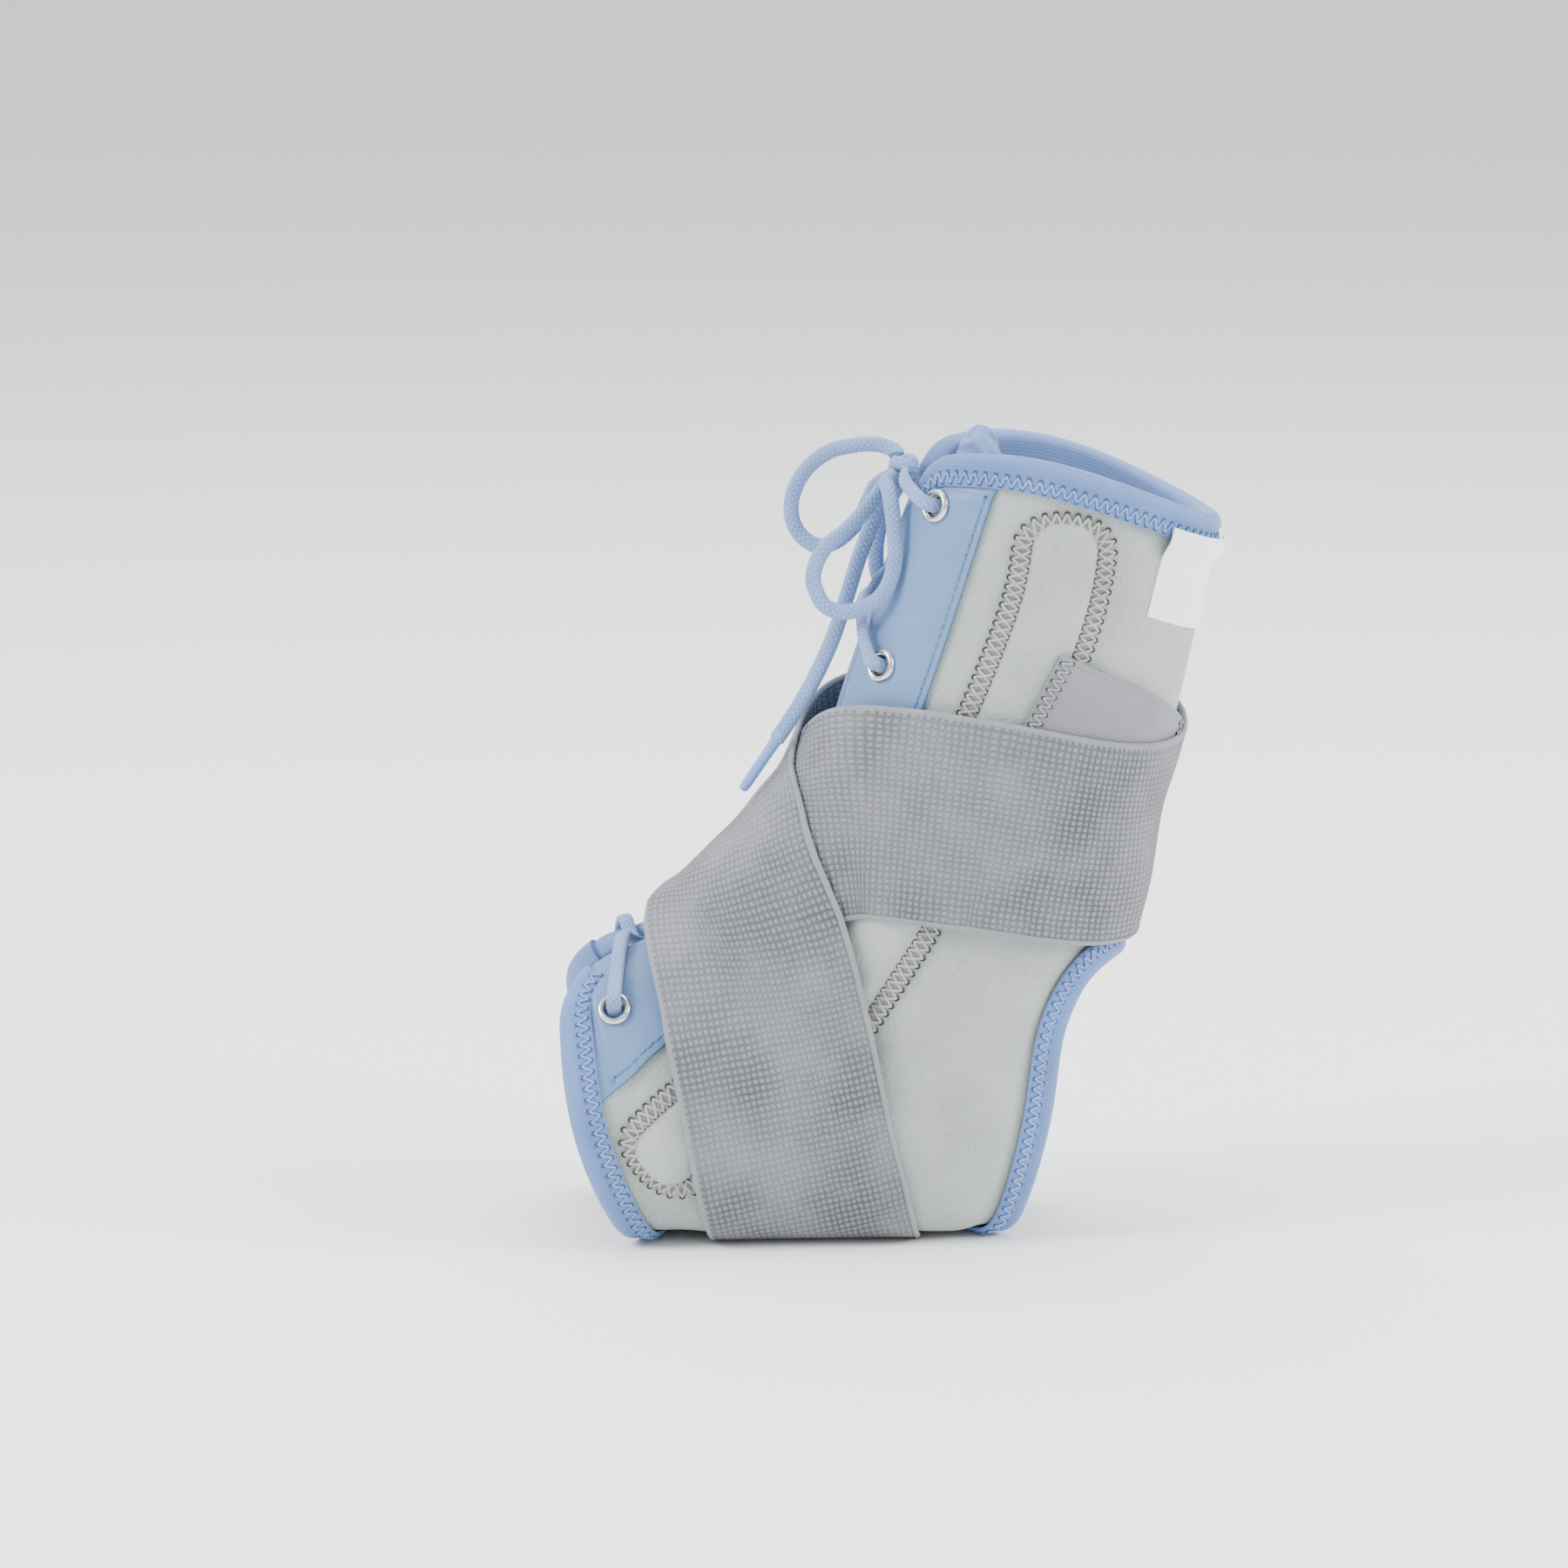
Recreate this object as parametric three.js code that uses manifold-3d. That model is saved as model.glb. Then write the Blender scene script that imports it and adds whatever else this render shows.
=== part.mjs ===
// Lace-up ankle brace with figure-of-eight straps, for a left ankle.
// Millimetres, +Z up, toes towards -X, outer (lateral) side towards -Y.
// The brace stands on its flat sole; the origin is on the floor under its middle.
import * as THREE from "three";
import { mergeVertices } from "three/addons/utils/BufferGeometryUtils.js";
import Module from "manifold-3d";

// Overall sizes
const braceHeight = 210; // floor to the front of the top edge
const braceLength = 174; // toe edge to the rear of the top edge
const footWidth = 80; // across the toe edge
const topBow = 8; // rise of the top edge between its front and its rear
const toeBow = 5.5; // the toe edge bulges towards the toes
const soleRound = 6; // roundness where the sides meet the flat sole
const sideSquareness = 0.85; // below 1, the sides of a section are fuller than an ellipse's

// Cloth, trims and the gaps between them
const seam = 0.3; // clearance between pieces that touch
const heelSlack = 0.4; // more room inside the heel binding, which bends sharply
const clothEase = 0.45; // clearance between a curved sheet and the sleeve under it
const sleeveWall = 3;
const panelWidth = 27;
const panelWall = 1.2;
const edgingReach = 7; // how far a binding reaches in from the edge that it wraps
const edgingWall = 1.2;
const edgingEase = 1; // clearance inside a binding
const cornerRadius = 9; // rounded corners of the flaps
const edgingLean = 4.5; // a binding's end leans this far past the rounded corner
const flapGap = 22; // between the two flaps
const toeSpread = 9; // each flap draws back this much more at the toe edge
const toeSpreadFrom = 10.2; // station where it starts to draw back
const toePanelShare = 1.3; // and its panel widens by this share of that
const pocketWidth = 26;
const pocketWall = 1.2;
const labelWidth = 30;
const labelHeight = 25;
const labelWall = 0.6;

// Heel opening: from station to station, and its half-angle seen from the section's middle
const heelTop = 5.1;
const heelBottom = 9.25;
const heelSpread = 46;

// Straps
const strapWidth = 55;
const strapWall = 1.4;
// The sleeve's sole rides this high on the straps and bindings under it
const soleLift = Math.max(strapWall, edgingEase + edgingWall) + 2 * seam;
const layerStep = strapWall + 4 * seam; // one strap over the other

// Eyelets and lace
const eyeletPairs = [0.4, 1.7, 3.7, 6.6, 10.2, 12.0]; // stations of the pairs
const eyeletInset = 12; // flap edge to the middle of an eyelet
const boreRadius = 2.9;
const flangeRadius = 4.7;
const flangeWall = 0.9;
const eyeletWall = 0.4;
const flangeDip = 0.9; // the inner flange clears the curved inner face
const laceWidth = 4;
const laceWall = 2;

// Tongue
const tongueWidth = 46;
const tongueWall = 2.5;
const tongueRise = 8; // above the top edge
const tongueEdging = 5;

// Bow
const knotWidth = 12;
const knotHeight = 10;
const knotDepth = 9;
const knotEase = 0.4; // a lace end stops this far off the knot
const agletLength = 17;
const agletRadius = 1.6;

// Heights over the outer face of the sleeve, worked out from the walls above
const panelTop = clothEase + panelWall;
const pocketTop = clothEase + pocketWall;
const flangeTop = panelTop + seam + flangeWall;
const laceDip = 0.9; // and dips this much more below the inner flange
const laceBend = 1.2; // the lace arches this much more where it enters an eyelet
const laceOver = flangeTop + seam + laceWall / 2;
const flangeSeat = -sleeveWall - seam - flangeDip;
const flangeUnder = flangeSeat - 0.6;
const laceUnder = flangeUnder - seam - 0.6 - laceWall / 2;
const tongueTop = laceUnder - laceDip - laceWall / 2 - 0.5;
const edgingTop = edgingEase + edgingWall;
const sideSeat = Math.max(panelTop, pocketTop, edgingTop + heelSlack) + seam; // a strap over trims
const frontSeat = laceOver + laceBend + laceWall / 2 + seam; // a strap over the lace
const soleSeat = soleLift - strapWall; // a strap under the sole

const radians = THREE.MathUtils.degToRad;
const smooth = THREE.MathUtils.smoothstep;
const mix = THREE.MathUtils.lerp;

// Sections of the sleeve from the top edge, station 0, to the toe edge. Each runs from a front
// point to a rear or sole point. Percent of braceLength (x), braceHeight (z), footWidth (half).
const sections = [
  { frontX: 5.7, frontZ: 99.3, rearX: 50.1, rearZ: 91.9, half: 42.5 },
  { frontX: -1.0, frontZ: 84.9, rearX: 46.8, rearZ: 78.0, half: 41 },
  { frontX: -6.6, frontZ: 71.2, rearX: 42.8, rearZ: 63.3, half: 42.5 },
  { frontX: -9.4, frontZ: 63.6, rearX: 39.8, rearZ: 55.3, half: 44.5 },
  { frontX: -12.5, frontZ: 57.7, rearX: 38.2, rearZ: 46.2, half: 46.5 },
  { frontX: -16.5, frontZ: 53.5, rearX: 35.8, rearZ: 37.7, half: 47.5 },
  { frontX: -19.9, frontZ: 49.9, rearX: 34.5, rearZ: 25.8, half: 47 },
  { frontX: -23.6, frontZ: 46.9, rearX: 32.0, rearZ: 13.3, half: 45.5 },
  { frontX: -26.6, frontZ: 44.4, rearX: 24.8, rearZ: 2.4, half: 44.5 },
  { frontX: -29.6, frontZ: 42.1, rearX: 15.5, rearZ: -2.9, half: 44.5 },
  { frontX: -33.3, frontZ: 40.2, rearX: 2.9, rearZ: -2.9, half: 45.5 },
  { frontX: -39.7, frontZ: 38.1, rearX: -9.6, rearZ: -2.9, half: 47 },
  { frontX: -44.7, frontZ: 36.9, rearX: -23.1, rearZ: -2.9, half: 48.5 },
  { frontX: -50.1, frontZ: 34.0, rearX: -37.7, rearZ: -2.9, half: 50 },
];
const toeStation = sections.length - 1;

// A strap's middle line: degrees round the section, station, and the layer of each strap
const strapPath = [
  { turn: 172, station: 11.1, outer: 0, inner: 0 },
  { turn: 130, station: 10.75, outer: 0, inner: 0 },
  { turn: 96, station: 10.2, outer: 0.4, inner: 0 },
  { turn: 65, station: 9.3, outer: 1, inner: 0 },
  { turn: 40, station: 8.05, outer: 1, inner: 0 },
  { turn: 17, station: 6.9, outer: 1, inner: 0 },
  { turn: 0, station: 6.0, outer: 1, inner: 0 },
  { turn: -20, station: 5.0, outer: 1, inner: 0 },
  { turn: -42, station: 4.1, outer: 1, inner: 0 },
  { turn: -60, station: 3.78, outer: 1, inner: 0 },
  { turn: -84, station: 3.6, outer: 0, inner: 1 },
  { turn: -100, station: 3.55, outer: 0, inner: 1 },
  { turn: -140, station: 3.5, outer: 0, inner: 1 },
  { turn: -180, station: 3.3, outer: 0, inner: 1 },
  { turn: -233, station: 2.7, outer: 0, inner: 1 },
  { turn: -268, station: 2.25, outer: 0, inner: 1 },
];

// The middle line of a stay pocket: degrees round the section, and station
const pocketPath = [
  { turn: 90, station: 0.35 },
  { turn: 94, station: 1.0 },
  { turn: 89, station: 2.1 },
  { turn: 82, station: 3.7 },
  { turn: 73, station: 5.45 },
  { turn: 69, station: 7.4 },
  { turn: 75, station: 9.85 },
  { turn: 92, station: 11.55 },
  { turn: 106, station: 12.4 },
];

// The route of each free end of the bow, from the knot outwards. Millimetres from the front of
// the top edge.
const laceRoutes = {
  loop_near: [
    [-10.7, -7.6, -4.5], [-9.9, -11, -7.1], [-9.2, -15, -11.5], [-8.7, -18, -17.1],
    [-8.5, -20, -22.9], [-9.7, -21, -28.7], [-12.5, -21, -33.7], [-17.7, -20, -36.8],
    [-22.6, -19, -37.9], [-27.1, -18, -36.4], [-29.4, -17, -32.8], [-30.3, -16, -28.9],
    [-28.9, -15, -24.1], [-26.1, -13, -20.4], [-21.9, -10.5, -17.5], [-17.7, -8.5, -13.5],
    [-14.2, -6.5, -9.5], [-11.5, -5, -6.1],
  ],
  loop_far: [
    [-8.3, 5.5, 2.3], [-12.5, 7.5, 3.7], [-18.6, 9, 3.4], [-25.9, 11, 1.3],
    [-32, 13, -3.7], [-35.5, 13, -10.2], [-36, 12, -16.2], [-33.9, 11, -21],
    [-29.9, 9.5, -23.8], [-25.9, 8.5, -23.6], [-21.9, 7.8, -21.2], [-17.7, 7, -16.5],
    [-15.3, 6, -11.3], [-13.1, 5, -6.9],
  ],
  tail_near: [
    [-10.1, -2, -7.9], [-13.2, -2.4, -12.9], [-15.8, -3, -19.7], [-18.4, -4.5, -26.7],
    [-21.7, -6, -37.2], [-25, -7, -46.8], [-28.9, -7.5, -55.6], [-33.1, -7.5, -63.5],
    [-36.8, -7, -69.5], [-40, -6.5, -74.4],
  ],
  tail_far: [
    [-8.1, 4.2, -8.1], [-9.5, 9.2, -11.5], [-11.3, 13.7, -16.5], [-12.9, 17.2, -24.1],
    [-12.9, 20.3, -31.3], [-11.5, 23.1, -37], [-9.7, 25.4, -41.7],
  ],
};

const knotPlace = [-6, 0, -2];

const colours = {
  sleeve: 0xc8cecb, blue: 0x93afda, panel: 0xa5bdd6, strap: 0xb0b3b9,
  lace: 0xacc0de, nickel: 0xd8dade, tongue: 0xe4e2dc, label: 0xeeeeeb,
};

const wasm = await Module();
wasm.setup();

// A named column of the section table at any station, smooth between the rows
function column(name, station) {
  const row = Math.min(Math.max(Math.floor(station), 0), toeStation - 1);
  const at = (i) => {
    const inside = Math.min(Math.max(i, 0), toeStation);
    const next = i < 0 ? 1 : toeStation - 1;
    const value = sections[inside][name];
    return i === inside ? value : 2 * value - sections[next][name];
  };
  const [a, b, c, d] = [at(row - 1), at(row), at(row + 1), at(row + 2)];
  const t = station - row;
  if (t < 0) return b + ((c - a) / 2) * t;
  if (t > 1) return c + ((d - b) / 2) * (t - 1);
  return b + 0.5 * t * (c - a + t * (2 * a - 5 * b + 4 * c - d + t * (3 * (b - c) + d - a)));
}

function halfWidth(station) {
  return (column("half", station) * footWidth) / 100;
}

// The sleeve's outer face. turn is 0 at the front, pi at the rear, positive to the lateral side.
function skin(turn, station) {
  const frontX = (column("frontX", station) * braceLength) / 100;
  const frontZ = (column("frontZ", station) * braceHeight) / 100;
  const rearX = (column("rearX", station) * braceLength) / 100;
  const rearZ = (column("rearZ", station) * braceHeight) / 100;
  const share = (1 - Math.cos(turn)) / 2;
  const length = Math.hypot(rearX - frontX, rearZ - frontZ);
  const rise = topBow * (1 - smooth(station, 0, 2.2)) * Math.sin(Math.PI * share ** 0.7);
  const bulge = toeBow * smooth(station, 11, toeStation) * Math.sin(Math.PI * share);
  const bow = rise - bulge;
  const narrowing = 0.18 - 0.26 * smooth(station, 4, 8); // narrow at the tendon, wide at the sole
  const side = Math.sin(turn);
  const y = halfWidth(station) * Math.abs(side) ** sideSquareness * (1 - narrowing * share ** 2);
  return new THREE.Vector3(
    mix(frontX, rearX, share) - (bow * (rearZ - frontZ)) / length,
    -Math.sign(side) * y,
    flattened(mix(frontZ, rearZ, share) + (bow * (rearX - frontX)) / length),
  );
}

// The bow hangs from the front of the top edge
const bowFrom = skin(0, 0);
const onBow = (place) => bowFrom.clone().add(new THREE.Vector3(...place));
const knotMiddle = onBow(knotPlace);

// Heights near the sole eased on to one flat plane
function flattened(z) {
  if (z > soleLift + soleRound) return z;
  if (z < soleLift - soleRound) return soleLift;
  return soleLift + (z - soleLift + soleRound) ** 2 / (4 * soleRound);
}

// Directions along the surface at a place, and its outward normal
function frameAt(turn, station) {
  const du = 0.01;
  const dv = 0.02;
  const round = skin(turn + du, station).sub(skin(turn - du, station)).divideScalar(2 * du);
  const down = skin(turn, station + dv).sub(skin(turn, station - dv)).divideScalar(2 * dv);
  const normal = new THREE.Vector3().crossVectors(down, round).normalize();
  return { round, down, normal };
}

function raised(turn, station, height) {
  return skin(turn, station).addScaledVector(frameAt(turn, station).normal, height);
}

// A step over the surface in a direction, by a length in millimetres
function walk(turn, station, direction, length) {
  const steps = Math.max(2, Math.ceil(Math.abs(length) / 5));
  const heading = direction.clone();
  let place = { turn, station };
  for (let i = 0; i < steps; i++) {
    const { round, down, normal } = frameAt(place.turn, place.station);
    heading.addScaledVector(normal, -heading.dot(normal)).normalize();
    const uu = round.dot(round);
    const vv = down.dot(down);
    const uv = round.dot(down);
    const a = round.dot(heading);
    const b = down.dot(heading);
    const scale = length / steps / (uu * vv - uv * uv);
    place = {
      turn: place.turn + (a * vv - b * uv) * scale,
      station: place.station + (b * uu - a * uv) * scale,
    };
  }
  return place;
}

// Angle round the section at a distance from the middle plane, near the front
function turnAtWidth(y, station) {
  return Math.asin(Math.min(1, y / halfWidth(station)) ** (1 / sideSquareness));
}

// A distance from an end, measured down the front, as stations
function stationsFor(length, station) {
  return length / frameAt(Math.PI / 4, station).down.length();
}

// How far a flap has drawn back at a station near the toes
function drawnBack(station) {
  const share = (station - toeSpreadFrom) / (toeStation - toeSpreadFrom);
  return toeSpread * Math.min(Math.max(share, 0), 1) ** 1.5;
}

// The edge of a flap, with its rounded corners
function flapEdge(station) {
  const fromEnd = Math.min(
    station / stationsFor(1, 0),
    (toeStation - station) / stationsFor(1, toeStation - 0.1),
  );
  const lift = Math.max(0, cornerRadius - Math.max(0, fromEnd));
  const inset = cornerRadius - Math.sqrt(cornerRadius ** 2 - lift ** 2);
  return turnAtWidth(flapGap / 2 + drawnBack(station) + inset, station);
}

// The half-angle of the heel opening at a station
function heelEdge(station) {
  const share = (station - heelTop) / (heelBottom - heelTop);
  if (share <= 0 || share >= 1) return Math.PI;
  return Math.PI - radians(heelSpread) * Math.sin(Math.PI * share ** 0.59) ** 0.6;
}

function makeMesh(name, geometry, colour, roughness = 0.85, metalness = 0) {
  geometry.computeVertexNormals();
  const material = new THREE.MeshStandardMaterial({ color: colour, roughness, metalness });
  const mesh = new THREE.Mesh(geometry, material);
  mesh.name = name;
  return mesh;
}

function geometryOf(points, triangles) {
  const geometry = new THREE.BufferGeometry().setFromPoints(points);
  geometry.setIndex(triangles);
  return geometry;
}

// A closed wall over a list of four-cornered patches of the surface. A corner is a place with
// its low and high offsets; corners at one place are one, and open edges get a side wall.
function wall(patches) {
  const ids = new Map();
  const points = [];
  const idOf = ({ turn, station, low, high }) => {
    const around = THREE.MathUtils.euclideanModulo(turn + 1e-7, 2 * Math.PI);
    const key = around.toFixed(5) + " " + station.toFixed(5);
    if (!ids.has(key)) {
      ids.set(key, points.length);
      points.push(raised(turn, station, low), raised(turn, station, high));
    }
    return ids.get(key);
  };
  const triangles = [];
  const edges = new Map();
  for (const patch of patches) {
    const [a, b, c, d] = patch.map(idOf);
    for (const corners of [[a, b, c], [a, c, d]]) {
      if (new Set(corners).size < 3) continue;
      triangles.push(...corners.map((id) => id + 1));
      triangles.push(...corners.toReversed());
      corners.forEach((from, i) => edges.set(from + " " + corners[(i + 1) % 3], true));
    }
  }
  for (const edge of edges.keys()) {
    const [from, to] = edge.split(" ").map(Number);
    if (edges.has(to + " " + from)) continue;
    triangles.push(from, to, to + 1, from, to + 1, from + 1);
  }
  return facingOut(geometryOf(points, triangles));
}

// Patches between neighbouring rows of places, ordered to face outwards
function patchesOf(rows, mirrored = false) {
  const patches = [];
  for (let i = 0; i + 1 < rows.length; i++) {
    for (let j = 0; j + 1 < rows[i].length; j++) {
      const patch = [rows[i][j], rows[i + 1][j], rows[i + 1][j + 1], rows[i][j + 1]];
      patches.push(mirrored ? patch.toReversed() : patch);
    }
  }
  return patches;
}

function spread(from, to, count) {
  return Array.from({ length: count + 1 }, (_, i) => mix(from, to, i / count));
}

const sides = { lateral: 1, medial: -1 };

// Stations of the sleeve's rows: close together at the flap corners and the heel opening's ends
const cornerSteps = [0, 0.13, 0.4, 1].map((part) => part * cornerRadius);
const sleeveRows = [
  ...cornerSteps.map((length) => stationsFor(length, 0)),
  ...spread(0.5, 4.7, 10),
  ...[0, 0.01, 0.03, 0.06, 0.11, 0.2].map((part) => mix(heelTop, heelBottom, part)),
  ...spread(6.4, 8.6, 5),
  ...[0.92, 0.975, 1].map((part) => mix(heelTop, heelBottom, part)),
  ...spread(9.8, 12.2, 5),
  ...cornerSteps.map((length) => toeStation - stationsFor(length, toeStation - 0.1)).toReversed(),
];
// Shares across the sleeve, narrower beside the heel opening's binding
const sleeveColumns = [...spread(0, 0.84, 7), 0.93, 1];

function sleeveRow(side, station, low, high) {
  const from = flapEdge(station);
  return sleeveColumns.map((part) => ({
    turn: side * mix(from, heelEdge(station), part), station, low, high,
  }));
}

function sleeveGeometry() {
  const halves = Object.values(sides).map((side) =>
    patchesOf(sleeveRows.map((s) => sleeveRow(side, s, -sleeveWall, 0)), side < 0),
  );
  return wall(halves.flat());
}

// Places across an eyelet panel, from the flap edge to its rear edge
function panelGeometry(side) {
  const straight = edgingReach + 2 * edgingEase;
  const corner = cornerRadius + edgingLean;
  const columns = [seam, straight, ...spread(cornerRadius + 2, panelWidth, 4)];
  const rows = spread(0, 1, 19).map((part) =>
    columns.map((plainDepth) => {
      const rough = mix(0.35, toeStation - 0.6, part);
      const share = Math.max(0, plainDepth - straight) / (panelWidth - straight);
      const depth = plainDepth + share * toePanelShare * drawnBack(rough);
      const ease = depth > straight ? straight : corner;
      const front = flapEdge(rough);
      const round = frameAt(side * front, rough).round.multiplyScalar(side);
      const place = walk(side * front, rough, round, depth);
      const first = walk(place.turn, 0, frameAt(place.turn, 0).down, ease).station;
      const end = walk(place.turn, toeStation, frameAt(place.turn, toeStation).down, -ease);
      const station = mix(first, end.station, part);
      const edge = flapEdge(station);
      const settled = walk(
        side * edge, station, frameAt(side * edge, station).round.multiplyScalar(side), depth,
      );
      return { turn: settled.turn, station, low: clothEase, high: panelTop };
    }),
  );
  return wall(patchesOf(rows, side < 0));
}

// The middle of an eyelet and the way through it
function eyeletPlace(side, station) {
  const edge = side * flapEdge(station);
  const round = frameAt(edge, station).round.multiplyScalar(side);
  const inset = eyeletInset + toePanelShare * drawnBack(station);
  const { turn } = walk(edge, station, round, inset);
  return { turn, station };
}

function standOn(mesh, { turn, station }) {
  const up = new THREE.Vector3(0, 1, 0);
  mesh.quaternion.setFromUnitVectors(up, frameAt(turn, station).normal);
  mesh.position.copy(skin(turn, station));
  mesh.updateMatrixWorld(true);
  return mesh;
}

// A solid of the joining library from a closed geometry
function solidOf(geometry) {
  const plain = geometry.clone();
  for (const name of Object.keys(plain.attributes)) {
    if (name !== "position") plain.deleteAttribute(name);
  }
  const merged = mergeVertices(plain, 1e-4);
  const vertProperties = new Float32Array(merged.attributes.position.array);
  const triVerts = new Uint32Array(merged.index.array);
  return new wasm.Manifold(new wasm.Mesh({ numProp: 3, vertProperties, triVerts }));
}

function geometryFrom(solid) {
  const { vertProperties, triVerts, numProp } = solid.getMesh();
  const geometry = new THREE.BufferGeometry();
  geometry.setAttribute("position", new THREE.BufferAttribute(vertProperties, numProp));
  geometry.setIndex(new THREE.BufferAttribute(triVerts, 1));
  return geometry;
}

const eyeletSides = 8;
const barrelRadius = boreRadius + eyeletWall;

// The holes that the eyelets' barrels pass through, cut in a cloth piece
function withEyeletHoles(geometry, side) {
  const length = 2 * (sleeveWall + panelWall) + 4;
  const pin = new THREE.CylinderGeometry(
    barrelRadius + seam, barrelRadius + seam, length, eyeletSides,
  );
  let solid = solidOf(geometry);
  for (const station of eyeletPairs) {
    const tool = standOn(new THREE.Mesh(pin.clone()), eyeletPlace(side, station));
    solid = solid.subtract(solidOf(tool.geometry.applyMatrix4(tool.matrixWorld)));
  }
  return geometryFrom(solid);
}

function eyeletGeometry() {
  const inner = flangeRadius - 0.8;
  const profile = [
    [boreRadius, flangeUnder], [inner, flangeSeat], [barrelRadius, flangeSeat],
    [barrelRadius, panelTop + seam], [flangeRadius, panelTop + seam],
    [flangeRadius - 0.5, flangeTop], [boreRadius, flangeTop], [boreRadius, flangeUnder],
  ];
  const points = profile.map(([r, h]) => new THREE.Vector2(r, h));
  return new THREE.LatheGeometry(points, eyeletSides);
}

// A binding: a strip folded round an edge. Each edge place has a heading into the cloth.
function edgingGeometry(edge, { low, high, reach, closed = false }) {
  const ease = edgingEase;
  const out = ease + edgingWall;
  const section = [
    [reach, high + ease], [-ease, high + ease], [-ease, low - ease], [reach, low - ease],
    [reach, low - out], [-out, low - ease], [-out, high + ease], [reach, high + out],
  ];
  const rings = edge.map(({ turn, station, heading }) => {
    const inside = walk(turn, station, heading, reach);
    return section.map(([depth, height]) =>
      depth > 0
        ? raised(inside.turn, inside.station, height)
        : raised(turn, station, height).addScaledVector(heading, depth),
    );
  });
  return loft(rings, section, closed);
}

// Rings of matching points joined into a closed solid; ends are filled by the flat section
function loft(rings, section, closed) {
  const count = section.length;
  const triangles = [];
  const last = closed ? rings.length : rings.length - 1;
  for (let i = 0; i < last; i++) {
    const here = i * count;
    const next = ((i + 1) % rings.length) * count;
    for (let j = 0; j < count; j++) {
      const k = (j + 1) % count;
      triangles.push(here + j, here + k, next + k, here + j, next + k, next + j);
    }
  }
  if (!closed) {
    const outline = section.map(([a, b]) => new THREE.Vector2(a, b));
    const end = (rings.length - 1) * count;
    const counterClockwise = !THREE.ShapeUtils.isClockWise(outline);
    for (const [a, b, c] of THREE.ShapeUtils.triangulateShape(outline, [])) {
      const face = counterClockwise ? [c, b, a] : [a, b, c];
      triangles.push(...face);
      triangles.push(...face.toReversed().map((id) => end + id));
    }
  }
  return facingOut(geometryOf(rings.flat(), triangles));
}

function solidVolume(geometry) {
  const at = (i) => new THREE.Vector3().fromBufferAttribute(geometry.attributes.position, i);
  const index = geometry.index.array;
  let sum = 0;
  for (let i = 0; i < index.length; i += 3) {
    sum += at(index[i]).dot(at(index[i + 1]).cross(at(index[i + 2]))) / 6;
  }
  return sum;
}

// The same closed geometry with its faces pointing out
function facingOut(geometry) {
  if (solidVolume(geometry) > 0) return geometry;
  return geometry.setIndex([...geometry.index.array].toReversed());
}

// An edge's places with headings square to it, towards the given inside place
function headed(places, closed, insideOf) {
  return places.map(({ turn, station }, i) => {
    const before = places[closed ? (i + places.length - 1) % places.length : Math.max(0, i - 1)];
    const after = places[closed ? (i + 1) % places.length : Math.min(places.length - 1, i + 1)];
    const along = skin(after.turn, after.station).sub(skin(before.turn, before.station));
    const { normal } = frameAt(turn, station);
    const heading = new THREE.Vector3().crossVectors(normal, along).normalize();
    const wish = insideOf({ turn, station }).sub(skin(turn, station));
    return { turn, station, heading: heading.dot(wish) < 0 ? heading.negate() : heading };
  });
}

function rimPlaces(rim, rows) {
  const corner = (side) => rows.map((s) => ({ turn: side * flapEdge(s), station: s }));
  const from = flapEdge(rim);
  const lateral = sleeveColumns.map((part) => mix(from, Math.PI, part));
  const round = [...lateral.slice(1), ...lateral.slice(1, -1).toReversed().map((t) => -t)];
  return [
    ...corner(1), { turn: from, station: rim }, ...round.map((turn) => ({ turn, station: rim })),
    { turn: -from, station: rim }, ...corner(-1).toReversed(),
  ];
}

function topBindingGeometry() {
  const rows = cornerSteps.slice(1).map((length) => stationsFor(length, 0)).toReversed();
  const places = rimPlaces(0, rows);
  const edge = headed(places, false, ({ turn, station }) =>
    skin(turn + Math.sign(turn || 1) * 0.1, station + 0.2));
  return edgingGeometry(edge, { low: -sleeveWall, high: 0, reach: edgingReach });
}

function toeBindingGeometry() {
  const step = (length) => toeStation - stationsFor(length, toeStation - 0.1);
  const rows = cornerSteps.slice(1).map(step).toReversed();
  const places = rimPlaces(toeStation, rows);
  const edge = headed(places, false, ({ turn, station }) =>
    skin(turn + Math.sign(turn || 1) * 0.1, station - 0.2));
  return edgingGeometry(edge, { low: -sleeveWall, high: 0, reach: edgingReach });
}

function heelBindingGeometry() {
  const rows = sleeveRows.filter((s) => s > heelTop && s < heelBottom);
  const down = rows.map((s) => ({ turn: heelEdge(s), station: s }));
  const up = rows.toReversed().map((s) => ({ turn: -heelEdge(s), station: s }));
  const ends = [heelTop, heelBottom].map((s) => ({ turn: Math.PI, station: s }));
  const places = [ends[0], ...down, ends[1], ...up];
  const middle = { turn: Math.PI, station: 6.6 };
  const edge = headed(places, true, ({ turn, station }) => {
    const here = skin(turn, station);
    return here.clone().multiplyScalar(2).sub(skin(middle.turn, middle.station));
  });
  return edgingGeometry(edge, {
    low: -sleeveWall - heelSlack, high: heelSlack, reach: edgingReach, closed: true,
  });
}

// The tongue lies under the flaps and the lace, and rises above the top edge
const tongueStart = -stationsFor(tongueRise, 0);
const tongueEnd = toeStation - stationsFor(edgingReach + 2, toeStation - 0.5);
function tongueRow(station, count) {
  const fade = Math.sqrt(Math.min(1, (station - tongueStart) / 0.35 + 0.5));
  const edge = turnAtWidth((tongueWidth / 2) * fade, station);
  return spread(-edge, edge, count).map((turn) => ({
    turn, station, low: tongueTop - tongueWall, high: tongueTop,
  }));
}

function tongueGeometry() {
  const stations = [tongueStart, tongueStart + 0.08, ...spread(0, tongueEnd, 20)];
  return wall(patchesOf(stations.map((station) => tongueRow(station, 4))));
}

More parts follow.
